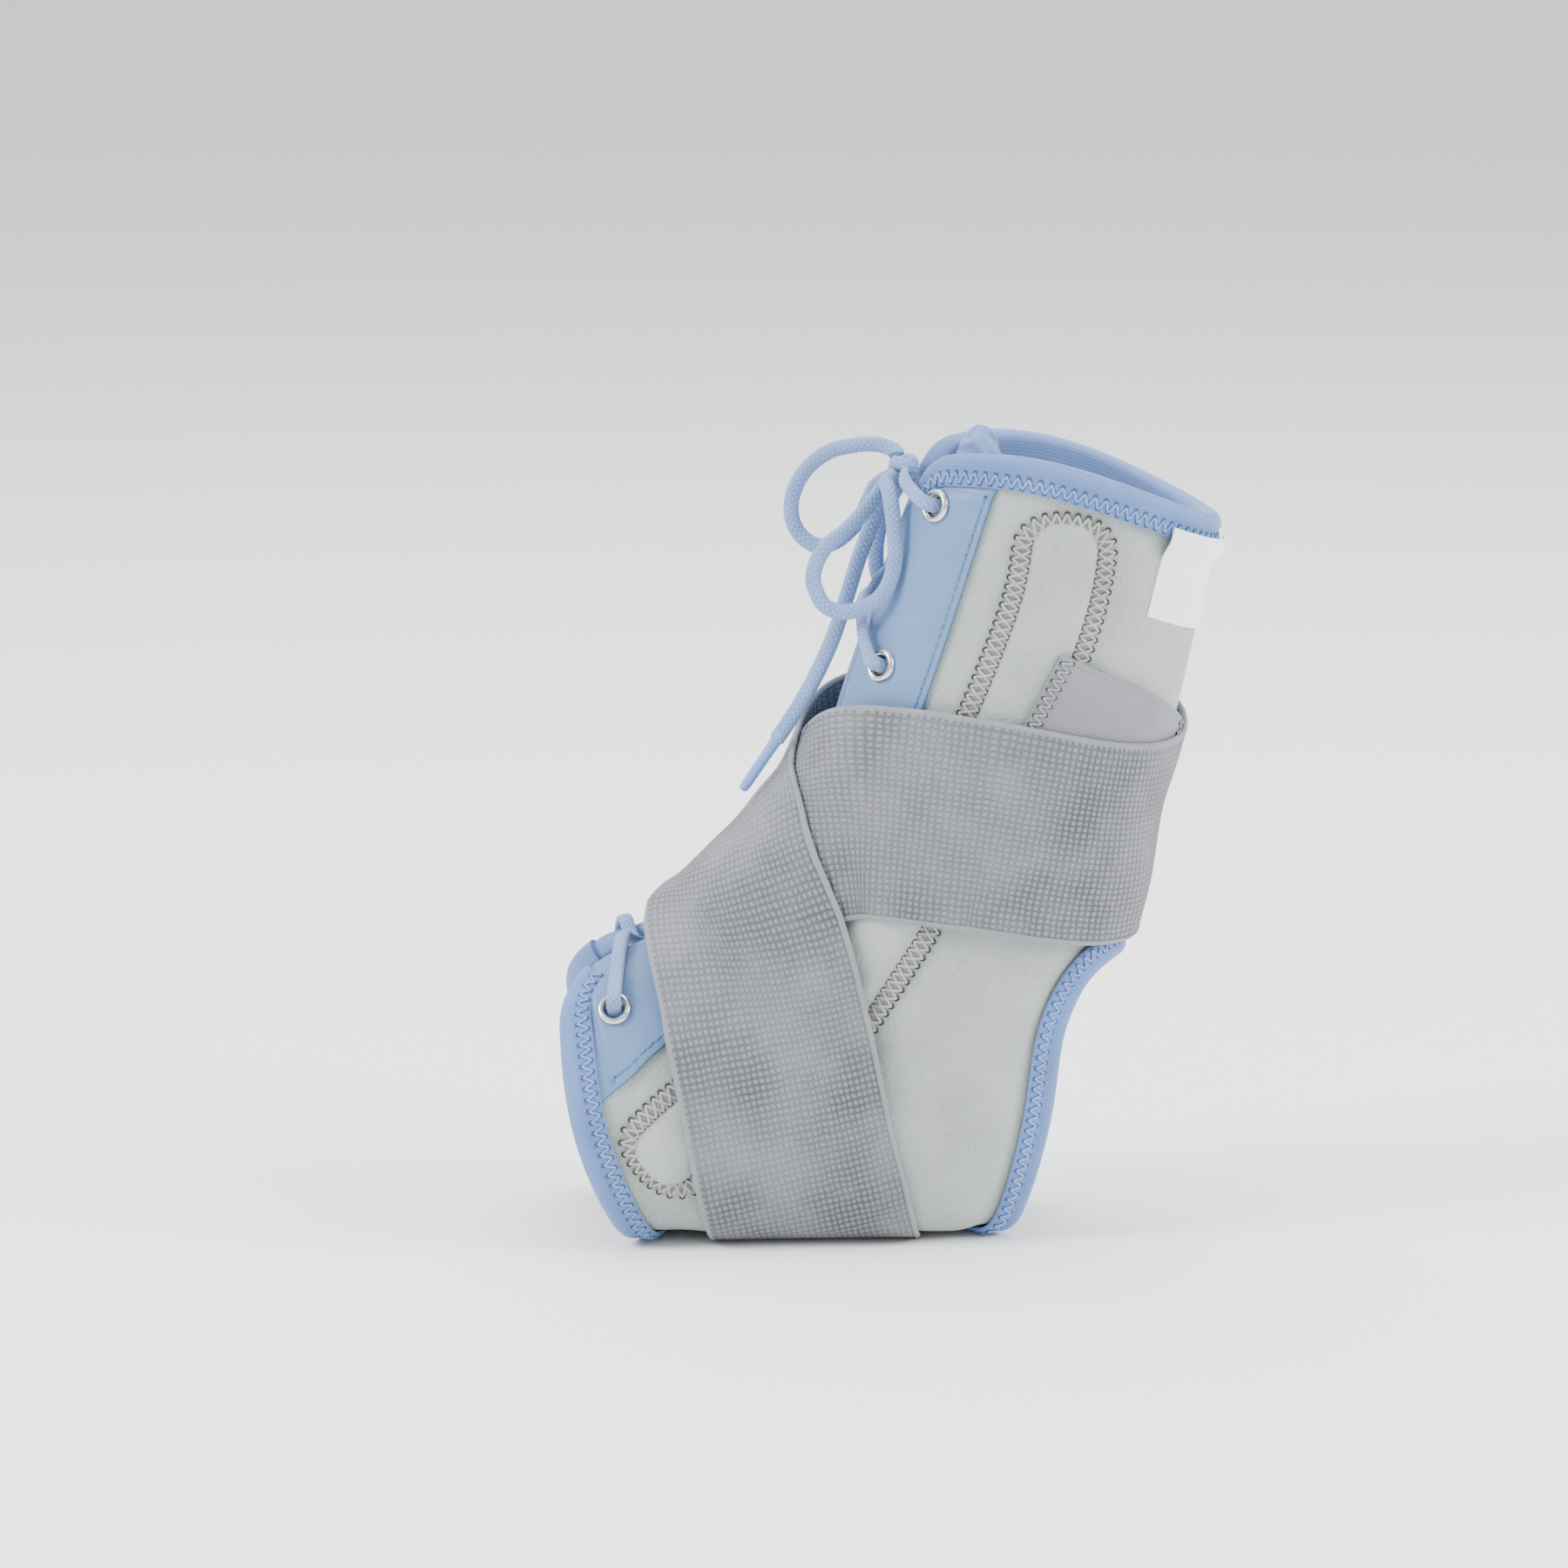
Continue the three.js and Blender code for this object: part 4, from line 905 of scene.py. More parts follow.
class BRACE_OT_eyelet_panels(Operator):
    """Light-blue panels folded round the flaps' edges, with their stitched rear edges"""

    bl_idname = "brace.eyelet_panels"
    bl_label = "Eyelet panels"

    def execute(self, context):
        for name, side in SIDES.items():
            self.panel(name, side)
        return {"FINISHED"}

    def grown(self, depth, station):
        """A depth behind the flap's edge, stretched where the panel widens towards the toes."""
        share = max(0.0, depth - BINDING_REACH - 2) / (PANEL_WIDTH - BINDING_REACH - 2)
        return depth + share * panel_growth(station)

    def place(self, side, depth, parts, ease=4.0):
        """Places at one depth behind the flap's edge, from under one binding to the other."""
        rough = mix(0.15, TOE - 0.25, parts)
        front = side * flap_edge(rough)
        reach = np.maximum(self.grown(depth, rough), 0.01)
        turn, _ = walk(front, rough, frame_at(front, rough)[0] * side, reach)
        first = walk(turn, 0, frame_at(turn, 0)[1], ease)[1]
        last = walk(turn, TOE, frame_at(turn, TOE)[1], -ease)[1]
        station = mix(first, last, parts)
        edge = side * flap_edge(station)
        return edge, station, frame_at(edge, station)[0] * side

    def free(self, depth, station):
        """From 0 where the panel lies under a binding to 1 where it lies free."""
        inside = from_end(station)
        corners = 1 - (1 - smooth(inside, 9.0, 11.0)) * (1 - smooth(depth, 6.4, 8.8))
        return smooth(inside, 6.4, 8.8) * corners

    def panel(self, name, side):
        even = np.linspace(0, 1, 250)
        parts = even - 0.11 * np.sin(2 * np.pi * even) / np.pi  # closer at both ends
        fold = [
            (3.2, -3.8, -3.3), (1.6, -3.95, -3.35), (0.4, -3.95, -3.3), (-0.5, -3.5, -3.0),
            (-1.0, -2.6, -2.2), (-1.15, -1.5, -1.5), (-1.0, -0.4, -0.8), (-0.6, 0.6, -0.1),
            (0.1, 1.2, 0.35), (0.9, 1.5, 0.45),
        ]
        flat = [(d, 1.5 + 0.28 * math.sin(math.pi * min(1, (d - 1) / 22)), 0.45)
                for d in np.linspace(2, PANEL_WIDTH - 1.2, 27)]
        flat += [(PANEL_WIDTH - 0.7, 1.4, 0.45), (PANEL_WIDTH - 0.25, 1.25, 0.5),
                 (PANEL_WIDTH, 0.95, 0.6)]
        outer, inner, uv = [], [], []
        for depth, top, under in fold + flat:
            edge, station, heading = self.place(side, depth, parts)
            free = self.free(depth, station)
            if depth < 0:
                for into, height, shift in ((outer, top, depth), (inner, under, depth + 0.65)):
                    out = unit(heading) * (shift * mix(0.4, 1, free))[:, None]
                    into.append(raised(edge, station, height) + out)
            else:
                turn, at = walk(edge, station, heading, self.grown(depth, station))
                soft = 0.16 * np.sin(station * 5.3 + depth * 0.31)
                soft = soft * math.sin(math.pi * min(1, depth / PANEL_WIDTH))
                high = mix(0.42, top + soft, free) if top > 0 else top
                low = mix(0.1, under, free) if top > 0 else under
                outer.append(raised(turn, at, high))
                inner.append(raised(turn, at, low))
            uv.append(paired(station * 20, depth))
        outer, inner, uv = (np.stack(part, 1) for part in (outer, inner, uv))
        grid = {"outer": outer, "inner": inner, "uv": uv, "flip": side < 0,
                "keep": clear_of_eyelets(outer, PANEL_HOLE)}
        points, faces, flat_map = wall([grid])
        piece = new_piece("panel_" + name, points, faces, flat_map, "coated synthetic leather",
                          ["eyelet_panel_" + name], "panel_leather")
        # Painted shadow: the faces along the panel's rear edge get a darker teal
        at_rear = [flat_map[face, 1].mean() > PANEL_WIDTH - 0.3 for face in faces]
        second_finish(piece, "cut leather edge", at_rear)
        # Lockstitches along the rear edge
        depth = PANEL_WIDTH - PANEL_SEAM_INSET
        edge, station, heading = self.place(side, depth, np.linspace(0, 1, 300), 8.4)
        turn, station = walk(edge, station, heading, self.grown(depth, station))
        turn, station, _, _ = sewn_line(turn, station, PANEL_STITCH / 2)
        points = raised(turn, station, 1.42)
        normal = frame_at(turn, station)[2]
        threads, holes = [], []
        for i in range(0, len(turn) - 2, 2):
            ends = np.stack([mix(points[i], points[i + 2], part) for part in (0.12, 0.82)])
            threads.append(thread(ends, normal[[i, i + 2]], radius=0.26, lift=0.22))
            # A dark disc at each needle hole is painted shade
            holes.append(needle_hole_shade(points[i], normal[i], radius=0.6))
        seam_piece("panel_stitches_" + name, [(threads, holes)], "panel sewing thread",
                   "needle holes in blue", "panel_leather")


class BRACE_OT_stay_pockets(Operator):
    """Curved channels of the side stays, with a double zigzag seam round each"""

    bl_idname = "brace.stay_pockets"
    bl_label = "Stay pockets"

    def execute(self, context):
        crown = sizes().pocket_crown / MM
        for name, side in SIDES.items():
            shares, length = even_shares(POCKET_PATH, side, 1.6)
            half = self.half(shares, length, 0)
            across = np.sin(np.linspace(-np.pi / 2, np.pi / 2, 31))
            turn, station = strip_places(POCKET_PATH, side, shares, half, across)
            dome = np.cos(across * np.pi / 2)[None] ** 0.7
            ends = smooth(half, 2, POCKET_WIDTH / 2)[:, None]
            bed = smooth(1 - np.abs(across)[None], 0.24, 0.6)
            top = 0.42 + (crown - 0.42) * bed * mix(0.8, 1, dome) * ends
            outer = raised(turn, station, top)
            inner = raised(turn, station, 0.32)
            flat = paired((shares * length)[:, None], half[:, None] * across)
            grid = {"outer": outer, "inner": inner, "uv": flat, "flip": side < 0}
            piece = new_piece("pocket_" + name, *wall([grid]), "brushed nylon knit",
                              ["stay_pocket_" + name], "sleeve_fabric")
            self.seams(name, side, length)
        return {"FINISHED"}

    def half(self, shares, length, inset):
        """Half the pocket's width, rounded off at both ends."""
        reach = POCKET_WIDTH / 2 - inset
        lift = np.clip(reach + inset - np.minimum(shares, 1 - shares) * length, 0, reach)
        return np.maximum(0.4, np.sqrt(reach ** 2 - lift ** 2))

    def seams(self, name, side, length):
        inset = POCKET_SEAM_INSET
        arc = np.linspace(0, np.pi / 2, 16)
        end = (inset + (POCKET_WIDTH / 2 - inset) * (1 - np.cos(arc))) / length
        shares = np.concatenate([end, np.linspace(end[-1], 1 - end[-1], 90)[1:-1], 1 - end[::-1]])
        half = self.half(shares, length, inset)
        turn, station = strip_places(POCKET_PATH, side, shares, half, np.array([-1.0, 1.0]))
        turn = np.concatenate([turn[:, 0], turn[::-1, 1]])
        station = np.concatenate([station[:, 0], station[::-1, 1]])
        step = sizes().stitch / MM
        turn, station, heading, _ = sewn_line(turn, station, step, closed=True)
        if len(turn) % 2:
            turn, station, heading = turn[:-1], station[:-1], heading[:-1]
        lines = [zigzag(turn, station, heading, height=0.62, width=4.4, radius=0.37, phase=phase,
                        closed=True, lift=0.75) for phase in (1, -1)]
        seam_piece("pocket_stitches_" + name, lines, "grey sewing thread",
                   "needle holes in grey", "sleeve_fabric")


# Section of a binding round a 3 mm edge: depth over the cloth and height over its outer face
BINDING_OUTER = [
    (7.0, 1.0), (6.8, 1.5), (6.2, 1.75), (5.2, 1.85), (4.2, 1.85), (3.4, 1.7), (2.8, 1.5),
    (2.2, 1.7), (1.4, 2.05), (0.4, 2.15), (-0.6, 1.8), (-1.4, 1.0), (-1.9, -0.2), (-2.05, -1.5),
    (-1.9, -2.8), (-1.4, -4.0), (-0.6, -4.8), (0.4, -5.1), (2.2, -4.9), (4.6, -4.8), (6.4, -4.7),
    (7.0, -4.2),
]
BINDING_INNER = [
    (6.9, -3.5), (1.0, -3.5), (-0.4, -3.0), (-0.6, -1.5), (-0.4, 0.0), (1.0, 0.5), (6.9, 0.5),
]


def bound_edge(name, turn, station, inward, nodes, closed=False, slack=0.0, reach=1.0, drop=0.0,
               stitched=True):
    """A folded binding along an edge, with a zigzag seam through its outer leg."""
    turn, station, heading, at = sewn_line(turn, station, 0.75, closed)
    if dot(heading, inward(turn, station)).mean() < 0:
        heading = -heading
    for _ in range(3):
        if closed:
            heading = unit(np.roll(heading, 1, 0) + 2 * heading + np.roll(heading, -1, 0))
        else:
            heading[1:-1] = unit(heading[:-2] + 2 * heading[1:-1] + heading[2:])
    # The outer leg is drawn in a little at each stitch
    scallop = 0.1 * np.cos(2 * np.pi * at / 2.7)
    rings, uv = [], []
    for depth, height in BINDING_OUTER + BINDING_INNER:
        grown = height + (slack if height > -1.5 else -slack)
        wavy = grown + (scallop if depth > 3 and height > 0.9 else 0) + drop
        rings.append(folded(turn, station, heading, depth * reach if depth > 0 else depth, wavy))
        uv.append(paired(at, depth + (0 if height > 0 else 20)))
    rings, uv = np.stack(rings, 1), np.stack(uv, 1)
    new_piece(name, *loft(rings, closed, uv), "woven polyester binding", nodes, "binding_fabric")
    if not stitched:
        return
    places = walk(turn, station, heading, BINDING_SEAM * reach)
    line = sewn_line(*places, BINDING_STITCH, closed)
    count = len(line[0]) - (len(line[0]) % 2 if closed else 0)
    height = 1.85 + slack + drop
    sewn = zigzag(*(part[:count] for part in line[:3]), height, width=2.7, radius=0.3,
                  closed=closed)
    seam_piece(name + "_stitches", [sewn], "blue sewing thread", "needle holes in blue",
               "binding_fabric")


def rim_line(rim, step, inner_sign):
    """The edge of the sleeve along its top or toes, round both corners of the flaps."""
    arc = np.linspace(0, np.pi / 2, 18)
    corner = rim + inner_sign * CORNER * (1 - np.sin(arc)) * step
    edge = flap_edge(corner)
    rear = np.linspace(edge[-1], 2 * np.pi - edge[-1], 150)[1:-1]
    turn = np.concatenate([edge, rear, 2 * np.pi - edge[::-1]])
    station = np.concatenate([corner, np.full(len(rear), float(rim)), corner[::-1]])
    return turn, station


TONGUE_START = -stations_for(TONGUE_RISE, 0)


def tongue_edge(station):
    """The turn of the tongue's edge, narrower at its rounded top."""
    fade = np.sqrt(np.clip((station - TONGUE_START) / 0.35 + 0.5, 0.3, 1))
    return turn_at_width(TONGUE_WIDTH / 2 * fade, station)


class BRACE_OT_bindings(Operator):
    """Blue bindings round the top, the toe edge, the heel opening and the tongue's top"""

    bl_idname = "brace.bindings"
    bl_label = "Bindings"

    def execute(self, context):
        turn, station = rim_line(0, TOP_STEP, 1)
        bound_edge("binding_top", turn, station, lambda t, s: frame_at(t, s)[1], ["top_binding"])
        turn, station = rim_line(TOE, TOE_STEP, -1)
        bound_edge("binding_toe", turn, station, lambda t, s: -frame_at(t, s)[1], ["toe_binding"])
        share = np.sin(np.linspace(0, np.pi / 2, 90)) ** 3
        rows = mix(HEEL_TOP, HEEL_BOTTOM, np.concatenate([share[:-1] * 0.5, 1 - share[::-1] * 0.5]))
        half = heel_edge(rows)
        turn = np.concatenate([half, 2 * np.pi - half[::-1][1:-1]])
        station = np.concatenate([rows, rows[::-1][1:-1]])
        middle = skin(math.pi, HEEL_MIDDLE)
        bound_edge("binding_heel", turn, station, lambda t, s: skin(t, s) - middle,
                   ["heel_binding"], closed=True, slack=0.3)
        rows = np.linspace(TONGUE_START + 0.42, TONGUE_START, 14)
        half = tongue_edge(rows)
        turn = np.concatenate([half, np.linspace(half[-1], -half[-1], 30)[1:-1], -half[::-1]])
        station = np.concatenate([rows, np.full(28, TONGUE_START), rows[::-1]])
        bound_edge("binding_tongue", turn, station, lambda t, s: frame_at(t, s)[1],
                   ["tongue_binding"], reach=0.7, drop=TONGUE_TOP + 0.25, stitched=False)
        return {"FINISHED"}


class BRACE_OT_tongue(Operator):
    """Soft tongue under the flaps and the lace"""

    bl_idname = "brace.tongue"
    bl_label = "Tongue"

    def execute(self, context):
        last = TOE - stations_for(BINDING_REACH + 2, TOE - 0.5)
        rows = np.concatenate([np.linspace(TONGUE_START, 0, 14)[:-1], np.linspace(0, last, 150)])
        across = np.sin(np.linspace(-np.pi / 2, np.pi / 2, 33))
        turn = tongue_edge(rows)[:, None] * across[None]
        station = np.broadcast_to(rows[:, None], turn.shape)
        thick = TONGUE_WALL * (0.35 + 0.65 * np.sqrt(1 - across ** 2 * 0.96))[None]
        ripple = 0.15 * np.sin(station * 7 + turn * 3)
        middle = TONGUE_TOP - TONGUE_WALL / 2
        grid = {
            "outer": raised(turn, station, middle + thick / 2 + ripple - 0.15),
            "inner": raised(turn, station, middle - thick / 2 + ripple - 0.15),
            "uv": paired(station * 20, turn * 30),
        }
        piece = new_piece("tongue_pad", *wall([grid]), "cream tricot", ["tongue"],
                          "tongue_fabric")
        return {"FINISHED"}


def strap_height(turn, station):
    """How high a strap lies over the sleeve: on the sole, over the side trims, over the lace."""
    front = np.abs((turn + np.pi) % (2 * np.pi) - np.pi)
    side = mix(SEAT_SOLE, SEAT_SIDE, smooth(skin(turn, station)[..., 2], SOLE_LIFT + 0.2, 9))
    at_rear = smooth(front, math.radians(120), math.radians(160)) * smooth(-station, -6, -5)
    side = mix(side, SEAT_REAR, at_rear)
    return mix(SEAT_FRONT, side, smooth(front, math.radians(34), math.radians(62)))


class BRACE_OT_straps(Operator):
    """Two elastic straps, sewn under the sole and wrapped in a figure of eight"""

    bl_idname = "brace.straps"
    bl_label = "Straps"

    def execute(self, context):
        for name, side, layer in (("lateral", 1, STRAP_OUTER), ("medial", -1, STRAP_INNER)):
            self.strap(name, side, layer)
        return {"FINISHED"}

    def strap(self, name, side, layer):
        strap_wall = sizes().strap_wall / MM
        shares, length = even_shares(STRAP_PATH, side, 1.1)
        inner_part = np.linspace(-0.88, 0.88, 33)
        rim = [0.905, 0.923, 0.934, 0.942, 0.953, 0.964, 0.973, 0.982, 0.991, 0.997, 1.0]
        across = np.array([*(-np.array(rim[::-1])), *inner_part, *rim])
        turn, station = strip_places(STRAP_PATH, side, shares, STRAP_WIDTH / 2, across)
        layers = np.clip(along_path(STRAP_PATH, shares)[:, layer], 0, 1)[:, None]
        low = strap_height(turn, station) + STRAP_LAYER * layers
        # Rounded selvedges, a little thicker than the middle
        edge = np.clip((np.abs(across) - 0.955) / 0.045, 0, 1)
        round_off = np.sqrt(np.clip(1 - edge ** 2 * 0.97, 0, 1))
        cord = 0.2 * np.exp(-((np.abs(across) - 0.97) / 0.012) ** 2)
        cord = cord - 0.3 * np.exp(-((np.abs(across) - 0.94) / 0.01) ** 2)
        along = (shares * length)[:, None]
        soft = 0.16 * np.sin(along * 0.11 + across * 2.1) * np.cos(across * 3.0 + along * 0.043)
        soft = soft * smooth(skin(turn, station)[..., 2], 6, 20)
        middle = low + strap_wall / 2 + np.maximum(soft, -0.1)
        half_thick = strap_wall / 2 * (round_off + cord)
        places = np.linspace(0, length, len(shares))[:, None]
        uv = paired(places, across[None] * STRAP_WIDTH / 2)
        grid = {
            "outer": raised(turn, station, middle + half_thick),
            "inner": raised(turn, station, middle - half_thick), "uv": uv, "flip": side < 0,
        }
        points, faces, flat = wall([grid])
        piece = new_piece("webbing_" + name, points, faces, flat,
                          "knitted elastic webbing", ["strap_" + name], "strap_webbing")
        tab = length - STRAP_TAB
        second_finish(piece, "tight woven tab", [flat[face, 0].mean() > tab for face in faces])
        # Zigzag seams: across the strap's end, and where the tab is sewn on
        lines = []
        for back in (2.6, STRAP_TAB - 1):
            row = int(np.argmin(np.abs(places[:, 0] - (length - back))))
            pick = slice(5, len(across) - 5)
            line = sewn_line(turn[row, pick], station[row, pick], 1.3)
            top = float((middle + half_thick)[row, len(across) // 2]) + 0.05
            lines.append(zigzag(*line[:3], top, width=3.0, radius=0.24, lift=0.25))
        seam_piece("webbing_stitches_" + name, lines, "strap sewing thread",
                   "needle holes in grey", "strap_webbing")


class BRACE_OT_label(Operator):
    """Bare white label hanging from the top binding at the lateral rear"""

    bl_idname = "brace.label"
    bl_label = "Label"

    def execute(self, context):
        down_part, across_part = np.linspace(0, 1, 26), np.linspace(0, 1, 30)
        rear = frame_at(math.pi, 0)[0]
        top_turn, top_station = walk(LABEL_START, 0, -rear, across_part * LABEL_WIDTH)
        down = frame_at(top_turn, top_station)[1]
        turn, station = walk(top_turn[None], 0, down[None], 4 + down_part[:, None] * LABEL_HEIGHT)
        over = 2.35 * (1 - smooth(down_part, 0.12, 0.4))[:, None] + 0.6
        wave = 0.35 * np.sin(across_part * 5.2 + 0.6)[None] * down_part[:, None]
        top = over + wave + 0.55
        grid = {
            "outer": raised(turn, station, top + 0.5), "inner": raised(turn, station, top),
            "uv": paired(down_part[:, None] * LABEL_HEIGHT, across_part[None] * LABEL_WIDTH),
            "flip": True,
        }
        piece = new_piece("label", *wall([grid]), "satin label tape", ["side_label"],
                          "label_fabric")
        return {"FINISHED"}


class BRACE_OT_eyelets(Operator):
    """Nickel eyelets, six on each flap"""

    bl_idname = "brace.eyelets"
    bl_label = "Eyelets"

    def execute(self, context):
        profile = [
            (2.75, FLANGE_UNDER), (2.7, 1.9), (2.8, 2.5), (3.1, 2.9), (3.6, 3.1), (4.1, 3.0),
            (4.5, 2.6), (4.7, 2.1), (4.6, 1.75), (3.3, 1.75), (3.2, -4.2), (3.9, -4.25),
            (3.9, -4.55), (3.5, FLANGE_UNDER),
        ]
        mesh = bpy.data.meshes.new("eyelet_profile")
        ring = [(i, (i + 1) % len(profile)) for i in range(len(profile))]
        mesh.from_pydata([(r * MM, 0, h * MM) for r, h in profile], ring, [])
        model = put("eyelet_profile", mesh)
        edit(model)
        bpy.ops.mesh.spin(steps=sizes().eyelet_sides, angle=2 * math.pi, center=(0, 0, 0),
                          axis=(0, 0, 1))
        bpy.ops.mesh.select_all(action="SELECT")
        bpy.ops.mesh.remove_doubles(threshold=0.00001)
        bpy.ops.mesh.normals_make_consistent(inside=False)
        bpy.ops.object.mode_set(mode="OBJECT")
        for name, side in SIDES.items():
            for i, at in enumerate(EYELET_PAIRS):
                turn, station = eyelet_place(side, at)
                copy = model.data.copy()
                turned = Vector((0, 0, 1)).rotation_difference(
                    Vector(frame_at(turn, station)[2])).to_matrix().to_4x4()
                place = (skin(turn, station) + SHIFT) * MM
                copy.transform(Matrix.Translation(Vector(place)) @ turned)
                copy.materials.append(nickel())
                settle(put(f"ring_{name}_{i + 1}", copy), [f"eyelet_{name}_{i + 1}"],
                       sharp=40)
        bpy.data.objects.remove(model)
        return {"FINISHED"}


def strand(side, start, end, over_under):
    """One crossing of the lace: out of an eyelet, over the gap, under the other flap."""
    a, _ = eyelet_place(side, start)
    b, _ = eyelet_place(-side, end)
    bend = BORE_RADIUS / np.linalg.norm(skin(a, start) - skin(b, end))
    on_flap = abs(a) - flap_edge(mix(start, end, 0.35))
    over = max(0.27, float(on_flap / abs(a - b)))
    middle = (LACE_OVER + LACE_UNDER) / 2 + over_under * 1.6
    places = [
        (0, FLANGE_TOP - 0.5), (bend, LACE_OVER + LACE_BEND), (over, LACE_OVER), (0.5, middle),
        (0.73, LACE_UNDER), (1 - bend, LACE_UNDER - LACE_DIP), (1, FLANGE_UNDER + 0.7),
    ]
    return [(mix(a, b, part), mix(start, end, part), height) for part, height in places]


def threaded_route():
    """The whole lace through the eyelets, as places over the sleeve."""
    last = len(EYELET_PAIRS) - 1

    def half(side, over):
        places = []
        for i in range(last, 0, -1):
            sign = over if i % 2 else -over
            places += strand(side, EYELET_PAIRS[i], EYELET_PAIRS[i - 1], sign)
            side = -side
        top, station = eyelet_place(side, EYELET_PAIRS[0])
        places += [
            (top, station, FLANGE_TOP - 0.5), (top * 0.9, station - 0.03, LACE_OVER + LACE_BEND),
            (top * 0.6, station - 0.12, LACE_OVER + 0.9),
            (top * 0.4, station - 0.2, LACE_OVER + 1.6),
        ]
        return places

    low = EYELET_PAIRS[last]
    bar, _ = eyelet_place(1, low)
    under = [(1, FLANGE_UNDER + 0.7), (0.88, LACE_UNDER - LACE_DIP), (0.5, LACE_UNDER),
             (0, LACE_UNDER + 0.5)]
    across = [(bar * part, low, height) for part, height in under]
    across += [(-bar * part, low, height) for part, height in under[-2::-1]]
    return np.array([*half(1, 1)[::-1], *across, *half(-1, -1)])


def knot_seat(point):
    """Where a lace that comes from the point meets the knot."""
    away = np.asarray(point, float) - KNOT
    reach = 1 / np.linalg.norm(away / KNOT_HALF) + 0.1 / np.linalg.norm(away)
    return KNOT + away * reach


class BRACE_OT_lace(Operator):
    """Braided lace through the eyelets, tied in a bow with sealed tips"""

    bl_idname = "brace.lace"
    bl_label = "Lace"

    def execute(self, context):
        width, thick = sizes().lace_width / MM, sizes().lace_thickness / MM
        places = threaded_route()
        points = raised(places[:, 0], places[:, 1], places[:, 2])
        points = np.concatenate([[knot_seat(points[0])], points, [knot_seat(points[-1])]])
        down = unit(frame_at(places[:, 0], places[:, 1])[1])
        down = np.concatenate([down[:1], down, down[-1:]])
        line = spline(points, 1.0)
        nearest = np.linalg.norm(line[:, None] - points[None], axis=-1).argmin(1)
        widths = down[nearest]
        for _ in range(6):
            widths[1:-1] = unit(widths[:-2] + widths[1:-1] + widths[2:])
        self.braid("lace_run", "lace_threaded", line, widths, width * 0.93, thick * 0.72)
        self.knot(width * 0.86, thick * 0.86)
        for name, route in LACE_ROUTES.items():
            self.free_end(name, route, width, thick)
        return {"FINISHED"}

    def braid(self, name, node, line, widths, width, thick, closed=False):
        return new_piece(name, *tube(line, widths, width, thick, closed=closed),
                         "braided polyester lace", [node], "lace_braid")

    def knot(self, width, thick):
        t = np.linspace(0, 2 * np.pi, 49)[:-1]
        shape = np.stack([
            -np.sin(3 * t) * 2.6, (np.sin(t) + 2 * np.sin(2 * t)) * 1.55,
            (np.cos(t) - 2 * np.cos(2 * t)) * 1.2 - 0.3,
        ], -1)
        line = spline(KNOT + shape, 0.6, closed=True)
        widths = unit(np.cross(line - KNOT, np.roll(line, -1, 0) - line))
        self.braid("bow_knot", "lace_knot", line, widths, width, thick, closed=True)

    def free_end(self, name, route, width, thick):
        loop = name.startswith("loop")
        points = [knot_seat(route[0]), *route]
        if loop:
            points.append(knot_seat(route[-1]))
        line = spline(points, 1.0)
        # The flat side faces outwards, and turns slowly along the lace
        tangent = unit(np.gradient(line, axis=0))
        facing = np.cross(tangent, (0.0, 1.0, 0.0)) + 1e-6
        twist = 0.35 * np.sin(np.linspace(0, 5, len(line)))[:, None]
        widths = unit(unit(facing) + twist * np.array((0.0, 1.0, 0.0)))
        aglet = None
        if not loop:
            aglet = self.aglet(name.replace("tail", "tip"), line)
        piece = self.braid("bow_" + name, "lace_" + name, line, widths, width, thick)

    def aglet(self, name, line):
        direction = unit(line[-1] - line[-3])
        at = np.array([-3.0, -2.8, -2.4, 0, 3, 7, 12, 15, 16.4, 16.9, AGLET_LENGTH])
        size = np.array([3.4, 4.2, 4.0, 3.3, 3.05, 2.95, 2.9, 2.8, 2.4, 1.5, 0.3])
        points = line[-1] + direction * at[:, None]
        widths = np.broadcast_to(np.cross(direction, (0.0, 1.0, 0.0)), points.shape)
        mesh = tube(points, widths, size, size * 0.85, sides=20, power=1)
        return new_piece(name, *mesh, "sealed polyester tip", [name.replace("tip", "aglet")],
                         "aglet_plastic")


CAMERA_LENS = 153
CAMERA_LEAN = math.radians(10)  # looking down
CAMERA_AIM, CAMERA_DISTANCE = (-0.0284, 0, 0.1209), 1.8  # metres


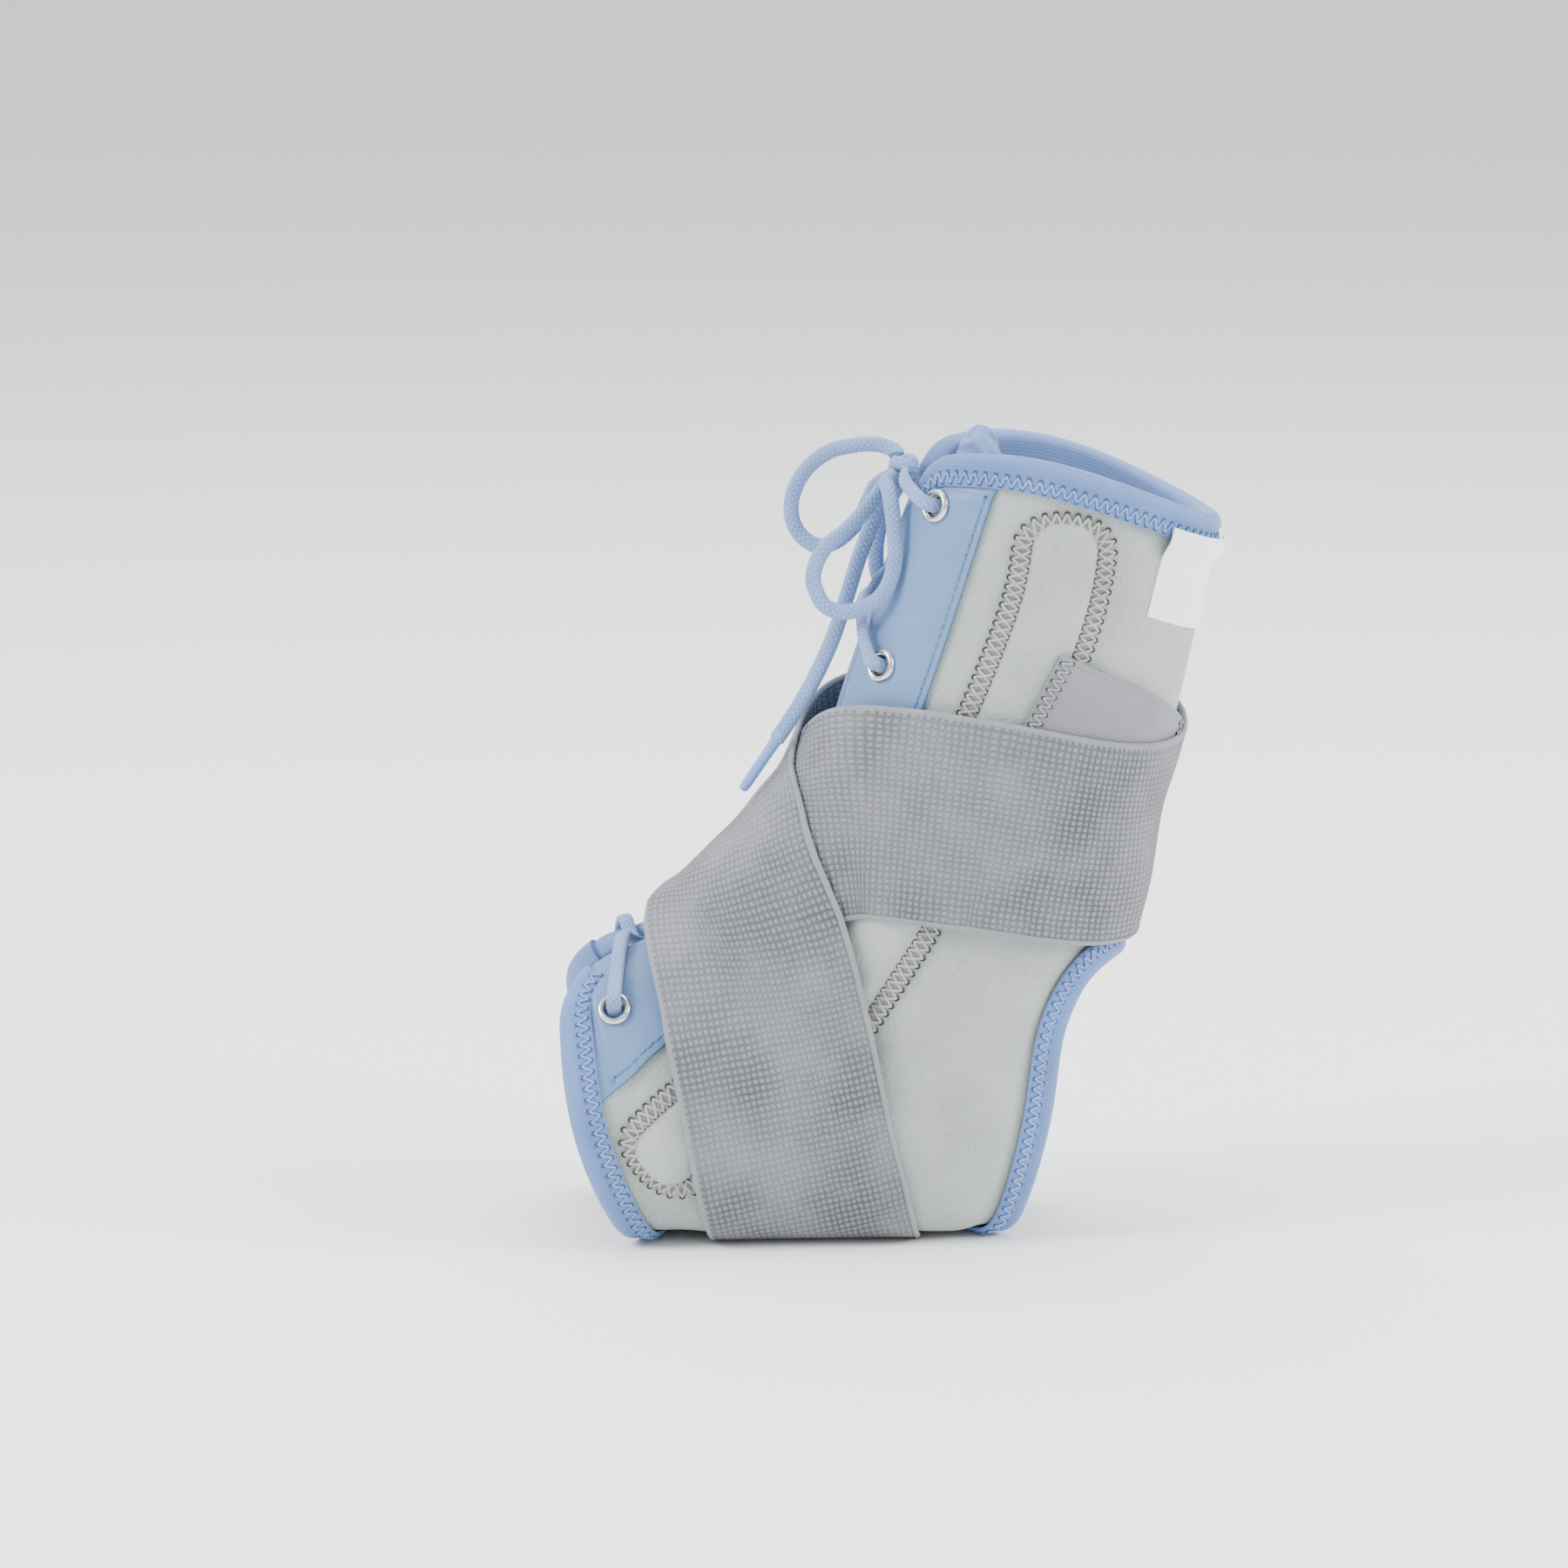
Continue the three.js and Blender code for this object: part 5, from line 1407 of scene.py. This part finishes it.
class BRACE_OT_stage(Operator):
    """Pale floor, soft studio light and the camera"""

    bl_idname = "brace.stage"
    bl_label = "Stage"

    def execute(self, context):
        bpy.ops.object.select_all(action="DESELECT")
        bpy.ops.mesh.primitive_plane_add(size=30, location=(0, 0, 0))
        floor = context.object
        floor.name = "floor"
        paper = bpy.data.materials.new("matt white paper")
        paper.use_nodes = True
        shader = paper.node_tree.nodes["Principled BSDF"]
        shader.inputs["Base Color"].default_value = (*colours().floor, 1)
        shader.inputs["Roughness"].default_value = 0.9
        floor.data.materials.append(paper)
        world = bpy.data.worlds.new("studio")
        world.use_nodes = True
        sky = world.node_tree.nodes["Background"]
        sky.inputs[0].default_value = (0.95, 0.97, 1.0, 1)
        sky.inputs[1].default_value = 1.15
        context.scene.world = world
        self.light("key_light", (-1.4, -0.6, 1.25), 0.8, 42)
        self.light("fill_light", (1.5, -0.5, 1.0), 1.0, 36)
        self.light("top_light", (0.1, 0.6, 1.9), 1.6, 44)
        data = bpy.data.cameras.new("camera")
        data.lens = CAMERA_LENS
        camera = put("camera", data)
        back = Vector((0, -math.cos(CAMERA_LEAN), math.sin(CAMERA_LEAN)))
        camera.location = Vector(CAMERA_AIM) + CAMERA_DISTANCE * back
        camera.rotation_euler = (math.pi / 2 - CAMERA_LEAN, 0, 0)
        context.scene.camera = camera
        return {"FINISHED"}

    def light(self, name, place, size, power):
        data = bpy.data.lights.new(name, "AREA")
        data.shape = "DISK"
        data.size = size
        data.energy = power
        lamp = put(name, data)
        lamp.location = place
        aim = Vector((0, 0, 0.1)) - Vector(place)
        lamp.rotation_euler = aim.to_track_quat("-Z", "Y").to_euler()


STEPS = (
    BRACE_OT_stage, BRACE_OT_lace, BRACE_OT_sleeve, BRACE_OT_eyelet_panels, BRACE_OT_stay_pockets,
    BRACE_OT_bindings, BRACE_OT_tongue, BRACE_OT_straps, BRACE_OT_label, BRACE_OT_eyelets,
)


class BRACE_PT_pieces(Panel):
    """The brace's pieces and their sizes and colours"""

    bl_idname = "BRACE_PT_pieces"
    bl_label = "Ankle brace"
    bl_space_type = "VIEW_3D"
    bl_region_type = "UI"
    bl_category = "Brace"

    def draw(self, context):
        for step in STEPS:
            self.layout.operator(step.bl_idname)
        for group in (context.scene.brace_sizes, context.scene.brace_colours):
            for key in group.__annotations__:
                self.layout.prop(group, key)


CLASSES = (BraceColours, BraceSizes, *STEPS, BRACE_PT_pieces)


def register():
    for cls in CLASSES:
        bpy.utils.register_class(cls)
    bpy.types.Scene.brace_colours = PointerProperty(type=BraceColours)
    bpy.types.Scene.brace_sizes = PointerProperty(type=BraceSizes)


def unregister():
    del bpy.types.Scene.brace_sizes
    del bpy.types.Scene.brace_colours
    for cls in reversed(CLASSES):
        bpy.utils.unregister_class(cls)


def main():
    register()
    for step in STEPS:
        group, name = step.bl_idname.split(".")
        getattr(getattr(bpy.ops, group), name)()


if __name__ == "__main__":
    main()
